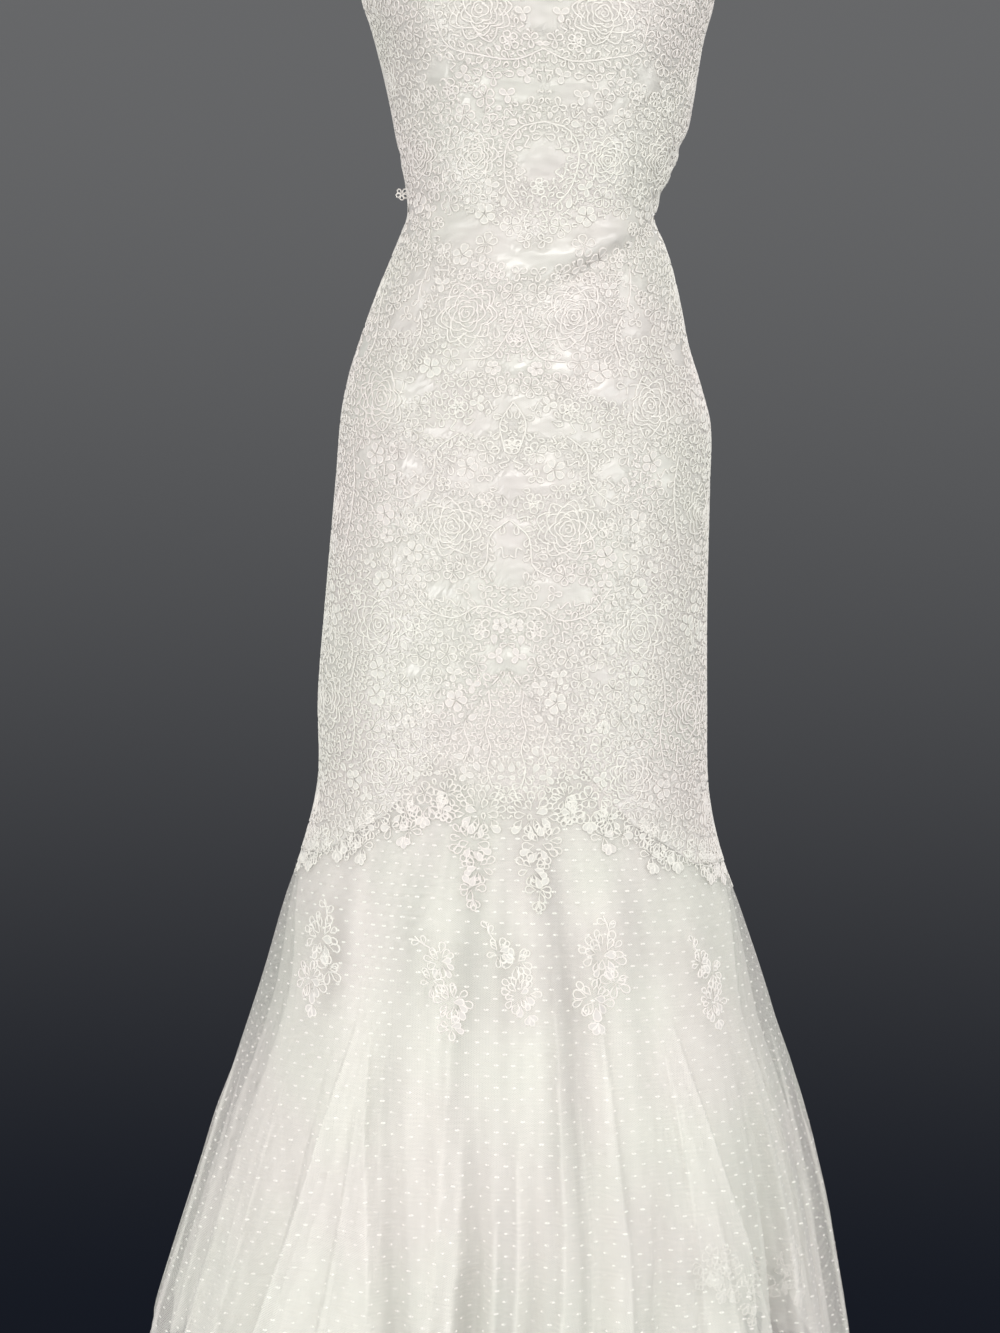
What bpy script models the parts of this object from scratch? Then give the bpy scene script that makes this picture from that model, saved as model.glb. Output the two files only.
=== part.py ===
"""Strapless trumpet wedding gown, filled out as worn, with no wearer.

A corded lace body, cut in seven panels from the neckline to the knee, ends in a raised V at the front and
the back. From that seam hangs a flared skirt in three layers: a satin lining, a plain tulle and a dotted tulle.
Lace sprays lie on the dotted tulle. Metres, +Z up, front towards -Y, origin at the middle of the waist.
"""

import math
from collections import namedtuple

import bpy
from mathutils import Vector
from mathutils.geometry import delaunay_2d_cdt

# Cloth thicknesses and gaps
LACE_PANEL_WALL = 0.0020
TULLE_WALL = 0.0010
SATIN_WALL = 0.0015
APPLIQUE_WALL = 0.0011
APPLIQUE_LIFT = 0.0006
SEAM_GAP = 0.0003

# Steps in degrees and in levels that measure which way a cloth faces
TINY_STEPS = (0.02, 1e-4)

# Body sections seen from the front: half width, depths before and behind the side seams, sideways shift, and
# how far the cloth is turned round the body, in degrees
Section = namedtuple("Section", "height half_width front back shift twist")
SECTIONS = [
    Section(+0.290, 0.1760, 0.120, 0.088, -0.001, 1.0),
    Section(+0.203, 0.1657, 0.124, 0.092, -0.001, 1.0),
    Section(+0.166, 0.1550, 0.118, 0.094, +0.001, 1.0),
    Section(+0.110, 0.1434, 0.106, 0.093, +0.005, 1.0),
    Section(+0.072, 0.1360, 0.099, 0.090, +0.006, 1.0),
    Section(+0.035, 0.1248, 0.093, 0.086, +0.003, 1.5),
    Section(+0.000, 0.1166, 0.088, 0.082, +0.000, 1.5),
    Section(-0.022, 0.1246, 0.090, 0.086, +0.001, 1.0),
    Section(-0.041, 0.1318, 0.093, 0.092, +0.001, 0.0),
    Section(-0.079, 0.1443, 0.098, 0.103, -0.001, -2.0),
    Section(-0.117, 0.1550, 0.102, 0.113, -0.003, -3.0),
    Section(-0.155, 0.1670, 0.106, 0.122, -0.002, -3.7),
    Section(-0.193, 0.1755, 0.109, 0.128, -0.000, -4.0),
    Section(-0.250, 0.1778, 0.111, 0.129, -0.001, -4.0),
    Section(-0.365, 0.1822, 0.115, 0.120, -0.004, -2.4),
    Section(-0.462, 0.1864, 0.119, 0.117, -0.005, -2.0),
    Section(-0.540, 0.1875, 0.123, 0.120, -0.002, -2.0),
    Section(-0.598, 0.1995, 0.133, 0.132, -0.001, -2.0),
    Section(-0.657, 0.2210, 0.153, 0.156, +0.001, -1.6),
    Section(-0.736, 0.2460, 0.184, 0.192, +0.005, -1.0),
    Section(-0.835, 0.2766, 0.222, 0.236, +0.006, -0.5),
    Section(-0.934, 0.3050, 0.256, 0.280, +0.006, 0.0),
    Section(-1.034, 0.3300, 0.288, 0.322, +0.002, 0.0),
    Section(-1.080, 0.3410, 0.302, 0.342, +0.000, 0.0),
]

# Edges of the body, by angle from the centre front: height of the neckline, and of the skirt's seam
EdgePoint = namedtuple("EdgePoint", "angle height")
NECKLINE = [
    EdgePoint(0, 0.232),
    EdgePoint(15, 0.252),
    EdgePoint(30, 0.270),
    EdgePoint(45, 0.268),
    EdgePoint(60, 0.254),
    EdgePoint(90, 0.226),
    EdgePoint(120, 0.206),
    EdgePoint(150, 0.188),
    EdgePoint(180, 0.178),
]
SKIRT_SEAM = [
    EdgePoint(0, -0.420),
    EdgePoint(22.5, -0.515),
    EdgePoint(37.5, -0.565),
    EdgePoint(60, -0.605),
    EdgePoint(90, -0.612),
    EdgePoint(120, -0.612),
    EdgePoint(150, -0.585),
    EdgePoint(180, -0.520),
]

# Bust cups, each a soft swell at the same height on both sides
CUP_ANGLE = 34.0
CUP_HEIGHT = 0.168
CUP_SPREAD = 21.0
CUP_REACH = 0.052
CUP_SWELL = 0.017

# Princess seams swing towards the sides at the waist
SWING_ANGLE = 7.0
SWING_REACH = 0.10

# Creases pulled into the body, from one end to the other: positive rises, negative sinks
Crease = namedtuple("Crease", "start_angle start_height end_angle end_height half_width rise")
CREASES = [
    Crease(-14, -0.044, 60, +0.006, 0.013, +0.0040),
    Crease(-2, -0.073, 74, -0.010, 0.012, -0.0060),
    Crease(18, -0.188, 52, -0.122, 0.014, +0.0030),
    Crease(16, -0.222, 48, -0.160, 0.014, -0.0030),
    Crease(62, +0.052, 100, +0.078, 0.012, -0.0040),
    Crease(64, +0.014, 100, +0.034, 0.010, -0.0030),
    Crease(-70, +0.020, -24, -0.016, 0.012, -0.0025),
    Crease(118, -0.050, 176, -0.014, 0.013, -0.0045),
    Crease(-112, -0.062, -172, -0.020, 0.013, -0.0045),
    Crease(-118, -0.034, -176, +0.010, 0.012, +0.0030),
    Crease(112, -0.150, 160, -0.100, 0.014, -0.0030),
]
CREASE_FADE = 0.7

# Body panels round the figure, in degrees from the centre front, positive towards +X
Panel = namedtuple("Panel", "name start end")
PANELS = [
    Panel("panel_front", -37.5, 37.5),
    Panel("panel_side_front_left", 37.5, 90.0),
    Panel("panel_side_front_right", -90.0, -37.5),
    Panel("panel_side_back_left", 90.0, 142.5),
    Panel("panel_side_back_right", -142.5, -90.0),
    Panel("panel_back_left", 142.5, 180.0),
    Panel("panel_back_right", -180.0, -142.5),
]
PANEL_STEP = 7.5
PANEL_LEVELS = [
    -0.360, -0.260, -0.205, -0.165, -0.130, -0.100, -0.075, -0.055, -0.036, -0.018,
    0.000, 0.018, 0.040, 0.075, 0.115, 0.160,
]
LEVELS_BELOW = 3
LEVELS_ABOVE = 2

# Valleys between the skirt's folds: where each lies at the hem and where it starts, with its half width in
# degrees and its depth at the hem
Valley = namedtuple("Valley", "hem_angle top_angle half_width depth start")
VALLEYS = [
    Valley(-166, -165, 7.0, 0.026, -0.64),
    Valley(-150, -152, 7.0, 0.034, -0.68),
    Valley(-133, -134, 8.0, 0.024, -0.70),
    Valley(-115, -116, 7.0, 0.030, -0.72),
    Valley(-101, -101, 5.0, 0.018, -0.74),
    Valley(-68, -66, 8.0, 0.010, -0.70),
    Valley(-41, -35, 7.0, 0.022, -0.74),
    Valley(-18, -31, 5.0, 0.024, -0.74),
    Valley(-11.5, -20, 2.8, 0.014, -0.58),
    Valley(-5, -7, 4.0, 0.036, -0.76),
    Valley(4.5, 4, 3.6, 0.022, -0.80),
    Valley(16, 14, 4.2, 0.026, -0.56),
    Valley(26, 29, 4.0, 0.020, -0.74),
    Valley(35, 34, 3.6, 0.013, -0.76),
    Valley(53, 55, 5.0, 0.038, -0.74),
    Valley(72, 70, 8.0, 0.012, -0.70),
    Valley(100, 100, 5.0, 0.020, -0.72),
    Valley(113, 114, 6.0, 0.030, -0.70),
    Valley(130, 131, 8.0, 0.024, -0.72),
    Valley(148, 150, 7.0, 0.036, -0.68),
    Valley(164, 163, 7.0, 0.024, -0.66),
    Valley(176, 176, 4.0, 0.016, -0.62),
]
FOLD_TOP = -0.740
VALLEY_TOP_WIDTH = 0.55
VALLEY_EASE = 0.12

# Skirt layers from the outside in: how deep each is tucked under the body's edge, how far it hangs inside the
# outline below, how much of each valley it follows there, how far it ends above the hem, its wall, and whether
# its folds are cut finely
Layer = namedtuple("Layer", "name tuck hang fold_share shorter wall fine finish")
LAYERS = [
    Layer("dotted_tulle", 0.0015, 0.000, 1.00, 0.000, TULLE_WALL, True, "tulle"),
    Layer("under_tulle", 0.0034, 0.021, 0.85, 0.014, TULLE_WALL, False, "tulle"),
    Layer("skirt_lining", 0.0054, 0.031, 0.75, 0.044, SATIN_WALL, False, "satin"),
]
HEM = -1.080
SKIRT_LEVELS = [0.00, 0.12, 0.28, 0.50, 0.75, 1.00]
INNER_LEVELS = [0.00, 0.12, 0.28, 0.50, 1.00]
HEM_SHARE = 0.75
HANG_TOP = -0.600
HANG_REACH = 0.180
HALVES = [("front", -90.0, 90.0), ("back", 90.0, 270.0)]
WIDEST_COLUMN = 6.5
WIDEST_INNER_COLUMN = 9.0
NARROWEST_COLUMN = 1.2
SPLIT_COLUMN = 3.4

# Binding along the neckline and the lace leaf that stands off the side seam
BINDING_HEIGHT = 0.0055
BINDING_WALL = 0.0028
LOOSE_LEAF_HEIGHT = 0.014
LOOSE_LEAF_RISE = 35.0
LOOSE_LEAF_SIZE = (0.0125, 0.0090, 0.0012)

# Hidden zip at the centre back: slider and the tab that swings on it
ZIP_HEIGHT = 0.152
SLIDER_SIZE = (0.0075, 0.0022, 0.0120)
EAR_SIZE = (0.0014, 0.0030, 0.0044)
EAR_APART = 0.0044
TAB_SIZE = (0.0046, 0.0011, 0.0230)
BARREL_RADIUS = 0.0009
TAB_CLEARANCE = 0.0003
EAR_BELOW_TOP = 0.0012
EAR_ROOT = 0.0004
SHANK_LENGTH = 0.0060
PLATE_START = 0.0045

# Lace shapes in metres, drawn on the flat: a rosette's size is its radius, a leaf's its length from its foot
Shape = namedtuple("Shape", "kind x y size turn")
SPRAY = [
    Shape("rosette", 0.000, 0.002, 0.0160, 0),
    Shape("rosette", 0.003, 0.020, 0.0105, 18),
    Shape("leaf", 0.002, 0.025, 0.0240, 95),
    Shape("leaf", -0.006, 0.012, 0.0200, 135),
    Shape("leaf", 0.009, 0.004, 0.0200, -5),
    Shape("leaf", -0.006, -0.008, 0.0210, 205),
    Shape("leaf", 0.004, -0.009, 0.0220, -62),
    Shape("leaf", -0.003, -0.010, 0.0330, -98),
]
BOUQUET = [
    Shape("rosette", 0.000, -0.010, 0.0135, 0),
    Shape("leaf", -0.003, -0.014, 0.0220, -112),
    Shape("leaf", 0.004, -0.014, 0.0190, -58),
]
PETALS = 5
PETAL_NOTCH = 0.74
LEAF_HALF_WIDTH = 0.25

# Sprays on the dotted tulle: angle from the centre front, height, tilt in degrees and scale
Placed = namedtuple("Placed", "name angle height turn scale")
SPRAYS = [
    Placed("spray_front", 1.5, -0.712, 12, 1.02),
    Placed("spray_front_left", 21.0, -0.712, -14, 1.18),
    Placed("spray_front_right", -14.5, -0.722, 16, 1.05),
    Placed("spray_side_left", 51.0, -0.726, 6, 1.00),
    Placed("spray_side_right", -47.0, -0.706, -16, 1.12),
    Placed("spray_side_back_left", 122.0, -0.716, 12, 1.05),
    Placed("spray_side_back_right", -124.0, -0.720, -12, 1.05),
    Placed("spray_back_left", 157.0, -0.712, -14, 1.08),
    Placed("spray_back_right", -158.0, -0.712, 14, 1.08),
]
# Bouquets along the lace edge on each side of the centre front and the centre back
FRONT_EDGE = [
    Placed("rosette", 7.0, -0.468, 0, 0.90),
    Placed("rosette", 9.5, -0.489, 0, 0.80),
    Placed("rosette", 9.0, -0.509, 0, 0.80),
    Placed("spray", 8.8, -0.556, 0, 0.95),
    Placed("spray", 7.5, -0.616, 0, 0.78),
    Placed("bouquet", 20.0, -0.528, -8, 1.15),
    Placed("bouquet", 28.0, -0.547, 0, 1.15),
    Placed("bouquet", 40.0, -0.575, 5, 0.95),
    Placed("bouquet", 49.5, -0.592, 0, 1.20),
    Placed("bouquet", 60.0, -0.607, -5, 1.25),
    Placed("bouquet", 71.0, -0.610, 5, 1.15),
    Placed("bouquet", 82.0, -0.612, 0, 1.20),
]
BACK_EDGE = [
    Placed("bouquet", 98.0, -0.612, 0, 1.15),
    Placed("bouquet", 109.0, -0.614, 0, 1.15),
    Placed("bouquet", 120.0, -0.612, 5, 1.25),
    Placed("bouquet", 131.0, -0.606, -5, 1.10),
    Placed("bouquet", 142.5, -0.595, 0, 1.20),
    Placed("bouquet", 154.0, -0.576, -5, 1.20),
    Placed("rosette", 168.0, -0.560, 0, 1.05),
    Placed("spray", 169.0, -0.602, 0, 0.95),
]
EDGE_BAND = 0.010
LACE_END_GAP = 0.15

# The flat plane that lace is drawn on, where one unit is about a millimetre: how far an outline may stray, the
# largest gap that is filled in, and how much the cloth turns or twists before the lace is cut to follow it
FLAT_DEGREE = 3.2
FLAT_DROP = 520.0
WIDEST_LEAN = 30.0
HALVINGS = 24
OUTLINE_SLACK = 0.9
SMALLEST_GAP = 14.0
LACE_TURN = 5.0
LACE_TWIST = 0.0010

FINISHES = {
    "lace": ((0.80, 0.77, 0.71), 0.62, 0.0),
    "satin": ((0.76, 0.74, 0.70), 0.38, 0.0),
    "tulle": ((0.82, 0.81, 0.78), 0.70, 0.0),
    "metal": ((0.86, 0.85, 0.83), 0.32, 0.6),
}


def material(finish):
    found = bpy.data.materials.get(finish)
    if found:
        return found
    color, roughness, metallic = FINISHES[finish]
    made = bpy.data.materials.new(finish)
    made.use_nodes = True
    shader = made.node_tree.nodes["Principled BSDF"]
    shader.inputs["Base Color"].default_value = (*color, 1.0)
    shader.inputs["Roughness"].default_value = roughness
    shader.inputs["Metallic"].default_value = metallic
    return made


def add_object(name, points, faces, finish, crisp=40):
    mesh = bpy.data.meshes.new(name)
    mesh.from_pydata([tuple(p) for p in points], [], faces)
    mesh.shade_smooth()
    mesh.set_sharp_from_angle(angle=math.radians(crisp))
    mesh.materials.append(material(finish))
    made = bpy.data.objects.new(name, mesh)
    bpy.context.scene.collection.objects.link(made)
    return made


def smooth_step(value):
    value = min(1.0, max(0.0, value))
    return value * value * (3.0 - 2.0 * value)


def curve_through(rows, key, at, field):
    """A field of a table at a place, on a smooth curve through the table's rows."""
    places = [getattr(row, key) for row in rows]
    values = [getattr(row, field) for row in rows]
    if places[0] > places[-1]:
        places.reverse()
        values.reverse()
    if at <= places[0]:
        return values[0]
    if at >= places[-1]:
        return values[-1]
    last = len(places) - 1
    k = max(i for i in range(last) if places[i] <= at)

    def slope(i):
        before, after = max(0, i - 1), min(last, i + 1)
        return (values[after] - values[before]) / (places[after] - places[before])

    span = places[k + 1] - places[k]
    t = (at - places[k]) / span
    return (
        values[k] * (1 + 2 * t) * (1 - t) ** 2
        + values[k + 1] * t * t * (3 - 2 * t)
        + span * slope(k) * t * (1 - t) ** 2
        - span * slope(k + 1) * t * t * (1 - t)
    )


def section_at(height):
    return Section(height, *(curve_through(SECTIONS, "height", height, f) for f in Section._fields[1:]))


def folded_angle(angle):
    """Degrees from the centre front on either side, 0 to 180."""
    return abs((angle + 180.0) % 360.0 - 180.0)


def neckline_height(angle):
    return curve_through(NECKLINE, "angle", folded_angle(angle), "height")


def seam_height(angle):
    """The skirt's seam runs straight from one point of its table to the next."""
    at = folded_angle(angle)
    for low, high in zip(SKIRT_SEAM, SKIRT_SEAM[1:]):
        if at <= high.angle:
            share = (at - low.angle) / (high.angle - low.angle)
            return low.height + share * (high.height - low.height)
    return SKIRT_SEAM[-1].height


def outline_point(angle, height, outwards):
    """A point of a level section, moved outwards square to the section's outline."""
    row = section_at(height)
    turned = math.radians(angle + row.twist)
    depth = row.front if math.cos(turned) > 0 else row.back
    across, along = math.sin(turned), math.cos(turned)
    square = Vector((across / row.half_width, -along / depth, 0)).normalized()
    return Vector((row.shift + row.half_width * across, -depth * along, height)) + square * outwards


def cup_swell(angle, height):
    total = 0.0
    for side in (-CUP_ANGLE, CUP_ANGLE):
        away = ((angle - side) / CUP_SPREAD) ** 2 + ((height - CUP_HEIGHT) / CUP_REACH) ** 2
        total += CUP_SWELL * math.exp(-away)
    return total


def crease_rise(angle, height):
    """Sum of the creases near a point, each fading towards its ends."""
    row = section_at(height)
    degree = math.radians(1) * (row.half_width + row.front) / 2
    total = 0.0
    for crease in CREASES:
        start = Vector((crease.start_angle * degree, crease.start_height))
        run = Vector((crease.end_angle * degree, crease.end_height)) - start
        here = Vector((angle * degree, height)) - start
        along = here.dot(run) / run.length_squared
        if 0 < along < 1:
            aside = (here - run * along).length / crease.half_width
            total += crease.rise * math.exp(-aside * aside) * math.sin(math.pi * along) ** CREASE_FADE
    return total


def body_point(angle, height):
    swing = SWING_ANGLE * math.exp(-((height / SWING_REACH) ** 2)) * math.sin(math.radians(2 * angle))
    angle += swing
    return outline_point(angle, height, cup_swell(angle, height) + crease_rise(angle, height))


def fold_angle(hem_angle, height):
    """Where a line down the skirt lies at a height: fold lines lean between their start and the hem."""
    first = VALLEYS[0]
    rows = VALLEYS + [first._replace(hem_angle=first.hem_angle + 360, top_angle=first.top_angle + 360)]
    at = (hem_angle + 180.0) % 360.0 - 180.0
    if at < rows[0].hem_angle:
        at += 360.0
    low, high = next((a, b) for a, b in zip(rows, rows[1:]) if a.hem_angle <= at <= b.hem_angle)
    share = (at - low.hem_angle) / (high.hem_angle - low.hem_angle)
    lean = (low.top_angle - low.hem_angle) * (1 - share) + (high.top_angle - high.hem_angle) * share
    if height > FOLD_TOP:
        amount = smooth_step((seam_height(hem_angle) - height) / (seam_height(hem_angle) - FOLD_TOP))
    else:
        amount = (height - HEM) / (FOLD_TOP - HEM)
    return hem_angle + lean * amount


def valley_depth(hem_angle, height):
    total = 0.0
    for valley in VALLEYS:
        down = (valley.start - height) / (valley.start - HEM)
        if down <= 0:
            continue
        reach = valley.half_width * (VALLEY_TOP_WIDTH + (1 - VALLEY_TOP_WIDTH) * down)
        aside = folded_angle(hem_angle - valley.hem_angle) / reach
        if aside < 1:
            growth = down * down / (down + VALLEY_EASE)
            total += valley.depth * growth * math.cos(math.pi / 2 * aside) ** 2
    return total


def skirt_point(layer, hem_angle, share):
    """A point of a skirt layer, by its line down the skirt and its share of the way from seam to hem."""
    top = seam_height(hem_angle) - SEAM_GAP
    lower = max(0.0, share - HEM_SHARE) / (1.0 - HEM_SHARE)
    height = top + share * (HEM - top) + layer.shorter * lower
    loose = smooth_step((HANG_TOP - height) / HANG_REACH)
    inside = layer.tuck + layer.hang * loose
    inside += (1 - (1 - layer.fold_share) * loose) * valley_depth(hem_angle, height)
    return outline_point(fold_angle(hem_angle, height), height, -inside)


class Sheet:
    """The outer face of a piece of cloth, as columns of points from the first level to the last.

    The wall is square to the face, but level along the top and bottom edges, which meet other pieces."""

    def __init__(self, angles, levels, point_at, trim=0.0):
        self.angles = angles
        self.levels = levels
        self.points = []
        self.normals = []
        tiny_angle, tiny_level = TINY_STEPS
        for angle in angles:
            column, normals = [], []
            for level in levels:
                point = point_at(angle, level)
                across = point_at(angle + tiny_angle, level) - point_at(angle - tiny_angle, level)
                step = tiny_level if level < levels[-1] else -tiny_level
                along = (point_at(angle, level + step) - point) / step
                normal = across.cross(along).normalized()
                if normal.dot(Vector((point.x, point.y, 0))) < 0:
                    normal.negate()
                if level in (levels[0], levels[-1]):
                    normal = Vector((normal.x, normal.y, 0)) / (normal.x**2 + normal.y**2)
                if angle == angles[0]:
                    point = point + across.normalized() * trim
                if angle == angles[-1]:
                    point = point - across.normalized() * trim
                column.append(point)
                normals.append(normal)
            self.points.append(column)
            self.normals.append(normals)

    def solid(self, name, wall, finish):
        """Closed solid between the outer face and the same face moved in by the wall."""
        columns, rows = len(self.angles), len(self.levels)
        outer = [p for column in self.points for p in column]
        inner = [p - n * wall for ps, ns in zip(self.points, self.normals) for p, n in zip(ps, ns)]
        size = columns * rows
        faces = []
        for c in range(columns - 1):
            for r in range(rows - 1):
                a = c * rows + r
                b, d = a + rows, a + 1
                e = b + 1
                faces += [(a, b, e), (a, e, d)]
                faces += [(size + a, size + e, size + b), (size + a, size + d, size + e)]
        rim = [c * rows for c in range(columns)]
        rim += [(columns - 1) * rows + r for r in range(1, rows)]
        rim += [c * rows + rows - 1 for c in range(columns - 2, -1, -1)]
        rim += [r for r in range(rows - 2, 0, -1)]
        for here, there in zip(rim, rim[1:] + rim[:1]):
            faces += [(here, size + here, size + there), (here, size + there, there)]
        if signed_volume(outer + inner, faces) < 0:
            faces = [tuple(reversed(face)) for face in faces]
        return add_object(name, outer + inner, faces, finish)

    def turning_columns(self, low, high, level):
        """Columns inside a stretch of the flat, one for each few degrees that the cloth turns at a level."""
        found, turned = [], 0.0
        for c in range(1, len(self.angles) - 1):
            before = self.points[c][level] - self.points[c - 1][level]
            after = self.points[c + 1][level] - self.points[c][level]
            turned += math.degrees(before.angle(after))
            if low < self.angles[c] * FLAT_DEGREE < high and turned > LACE_TURN:
                found.append(c)
                turned = 0.0
        return found

    def twist(self, column, level):
        """How far the fourth corner of a quad lies off the plane of the other three."""
        a, b = self.points[column][level], self.points[column + 1][level]
        c, d = self.points[column + 1][level + 1], self.points[column][level + 1]
        return abs((b - a).cross(d - a).normalized().dot(c - a))

    def on_facet(self, column, level, lift):
        """A point of the faceted outer face, moved out by lift, at a column and level counted in parts."""
        c = min(int(column), len(self.angles) - 2)
        r = min(int(level), len(self.levels) - 2)
        u, v = column - c, level - r
        if u >= v:
            weights = {(c, r): 1 - u, (c + 1, r): u - v, (c + 1, r + 1): v}
        else:
            weights = {(c, r): 1 - v, (c, r + 1): v - u, (c + 1, r + 1): u}
        total = Vector((0, 0, 0))
        for (i, j), weight in weights.items():
            total += weight * (self.points[i][j] + self.normals[i][j] * lift)
        return total


def signed_volume(points, faces):
    return sum(points[f[0]].dot(points[f[1]].cross(points[f[2]])) for f in faces) / 6


def flat_area(corners):
    return sum(a.x * b.y - b.x * a.y for a, b in zip(corners, corners[1:] + corners[:1])) / 2


def part_of_scale(marks, value):
    """A value's place among rising marks, counted in parts."""
    value = min(max(value, marks[0]), marks[-1])
    k = max(i for i in range(len(marks) - 1) if marks[i] <= value)
    return k + (value - marks[k]) / (marks[k + 1] - marks[k])


def shape_outline(shape):
    """Outline of a rosette or a leaf, in metres on the flat."""
    turn = math.radians(shape.turn)
    if shape.kind == "rosette":
        around = []
        for k in range(2 * PETALS):
            reach = shape.size * (1.0 if k % 2 else PETAL_NOTCH)
            at = turn + math.pi * k / PETALS
            around.append((shape.x + reach * math.cos(at), shape.y + reach * math.sin(at)))
        return around
    half = shape.size * LEAF_HALF_WIDTH
    side = [(0.0, half / 2), (shape.size / 2, half)]
    loop = [(s, -w) for s, w in side] + [(shape.size, 0.0)] + [(s, w) for s, w in reversed(side)]
    return [
        (shape.x + s * math.cos(turn) - w * math.sin(turn), shape.y + s * math.sin(turn) + w * math.cos(turn))
        for s, w in loop
    ]


def skirt_place(angle, height):
    """The line down the skirt, and the share of the way to the hem, that meet at an angle and a height."""
    low, high = angle - WIDEST_LEAN, angle + WIDEST_LEAN
    for _ in range(HALVINGS):
        line = (low + high) / 2
        if fold_angle(line, height) < angle:
            low = line
        else:
            high = line
    top = seam_height(line) - SEAM_GAP
    return line, (height - top) / (HEM - top)


def laid_outline(outline, angle, height, turn=0.0, scale=1.0, mirror=1):
    """A flat outline laid on the skirt: its points as line and share of the way down."""
    tilt = math.radians(turn)
    laid = []
    for x, y in outline:
        across = mirror * scale * (x * math.cos(tilt) - y * math.sin(tilt))
        up = scale * (x * math.sin(tilt) + y * math.cos(tilt))
        row = section_at(height + up)
        depth = row.front if folded_angle(angle) < 90 else row.back
        at = math.radians(angle)
        degree = math.radians(1) * math.hypot(row.half_width * math.cos(at), depth * math.sin(at))
        laid.append(skirt_place(angle + across / degree, height + up))
    return laid


def thinned(loop):
    """A loop without the points that its outline can spare."""
    kept = list(loop)
    k = 0
    while k < len(kept) and len(kept) > 4:
        before, here, after = kept[k - 1], kept[k], kept[(k + 1) % len(kept)]
        chord = after - before
        aside = abs(chord.cross(here - before)) / max(chord.length, 1e-6)
        if min(aside, (here - before).length) < OUTLINE_SLACK:
            kept.pop(k)
            k = max(0, k - 1)
        else:
            k += 1
    return kept


def merged_outlines(outlines):
    """Outer and inner edges of flat outlines that overlap, the small gaps filled in."""
    points, faces = [], []
    for corners in outlines:
        faces.append(list(range(len(points), len(points) + len(corners))))
        points += corners
    flat, _, pieces, _, _, sources = delaunay_2d_cdt(points, [], faces, 0, 1e-3, True)
    sides = {
        (a, b)
        for piece, source in zip(pieces, sources) if source
        for a, b in zip(piece, list(piece[1:]) + [piece[0]])
    }
    following = {}
    for a, b in sorted(sides):
        if (b, a) not in sides:
            following.setdefault(a, []).append(b)
    loops = []
    while following:
        start = min(following)
        loop, here = [], start
        while not loop or here != start:
            loop.append(here)
            ahead = following[here]
            there = ahead.pop()
            if not ahead:
                del following[here]
            here = there
        loops.append(thinned([flat[v] for v in loop]))
    return [loop for loop in loops if flat_area(loop) > 0 or flat_area(loop) < -SMALLEST_GAP]


def connected(pieces, shared):
    """Groups of faces that hang together by the keys that they share."""
    groups = []
    for piece in pieces:
        keys = shared(piece)
        meeting = [group for group in groups if group[1] & keys]
        merged = ([piece], set(keys))
        for group in meeting:
            merged[0].extend(group[0])
            merged[1].update(group[1])
            groups.remove(group)
        groups.append(merged)
    return sorted((group[0] for group in groups), key=len)


def sides_of(piece):
    return {frozenset(side) for side in zip(piece, piece[1:] + piece[:1])}


def without_pinches(pieces):
    """The largest group of flat faces, less those that meet the rest at a bare corner."""
    while True:
        pieces = connected(pieces, sides_of)[-1]
        at_corner = {}
        for piece in pieces:
            for v in piece:
                at_corner.setdefault(v, []).append(piece)
        extra = set()
        for v, around in sorted(at_corner.items()):
            fans = connected(around, lambda piece: {side for side in sides_of(piece) if v in side})
            if len(fans) > 1 and not extra:
                extra = {piece for fan in fans[:-1] for piece in fan}
        if not extra:
            return pieces
        pieces = [piece for piece in pieces if piece not in extra]


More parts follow.
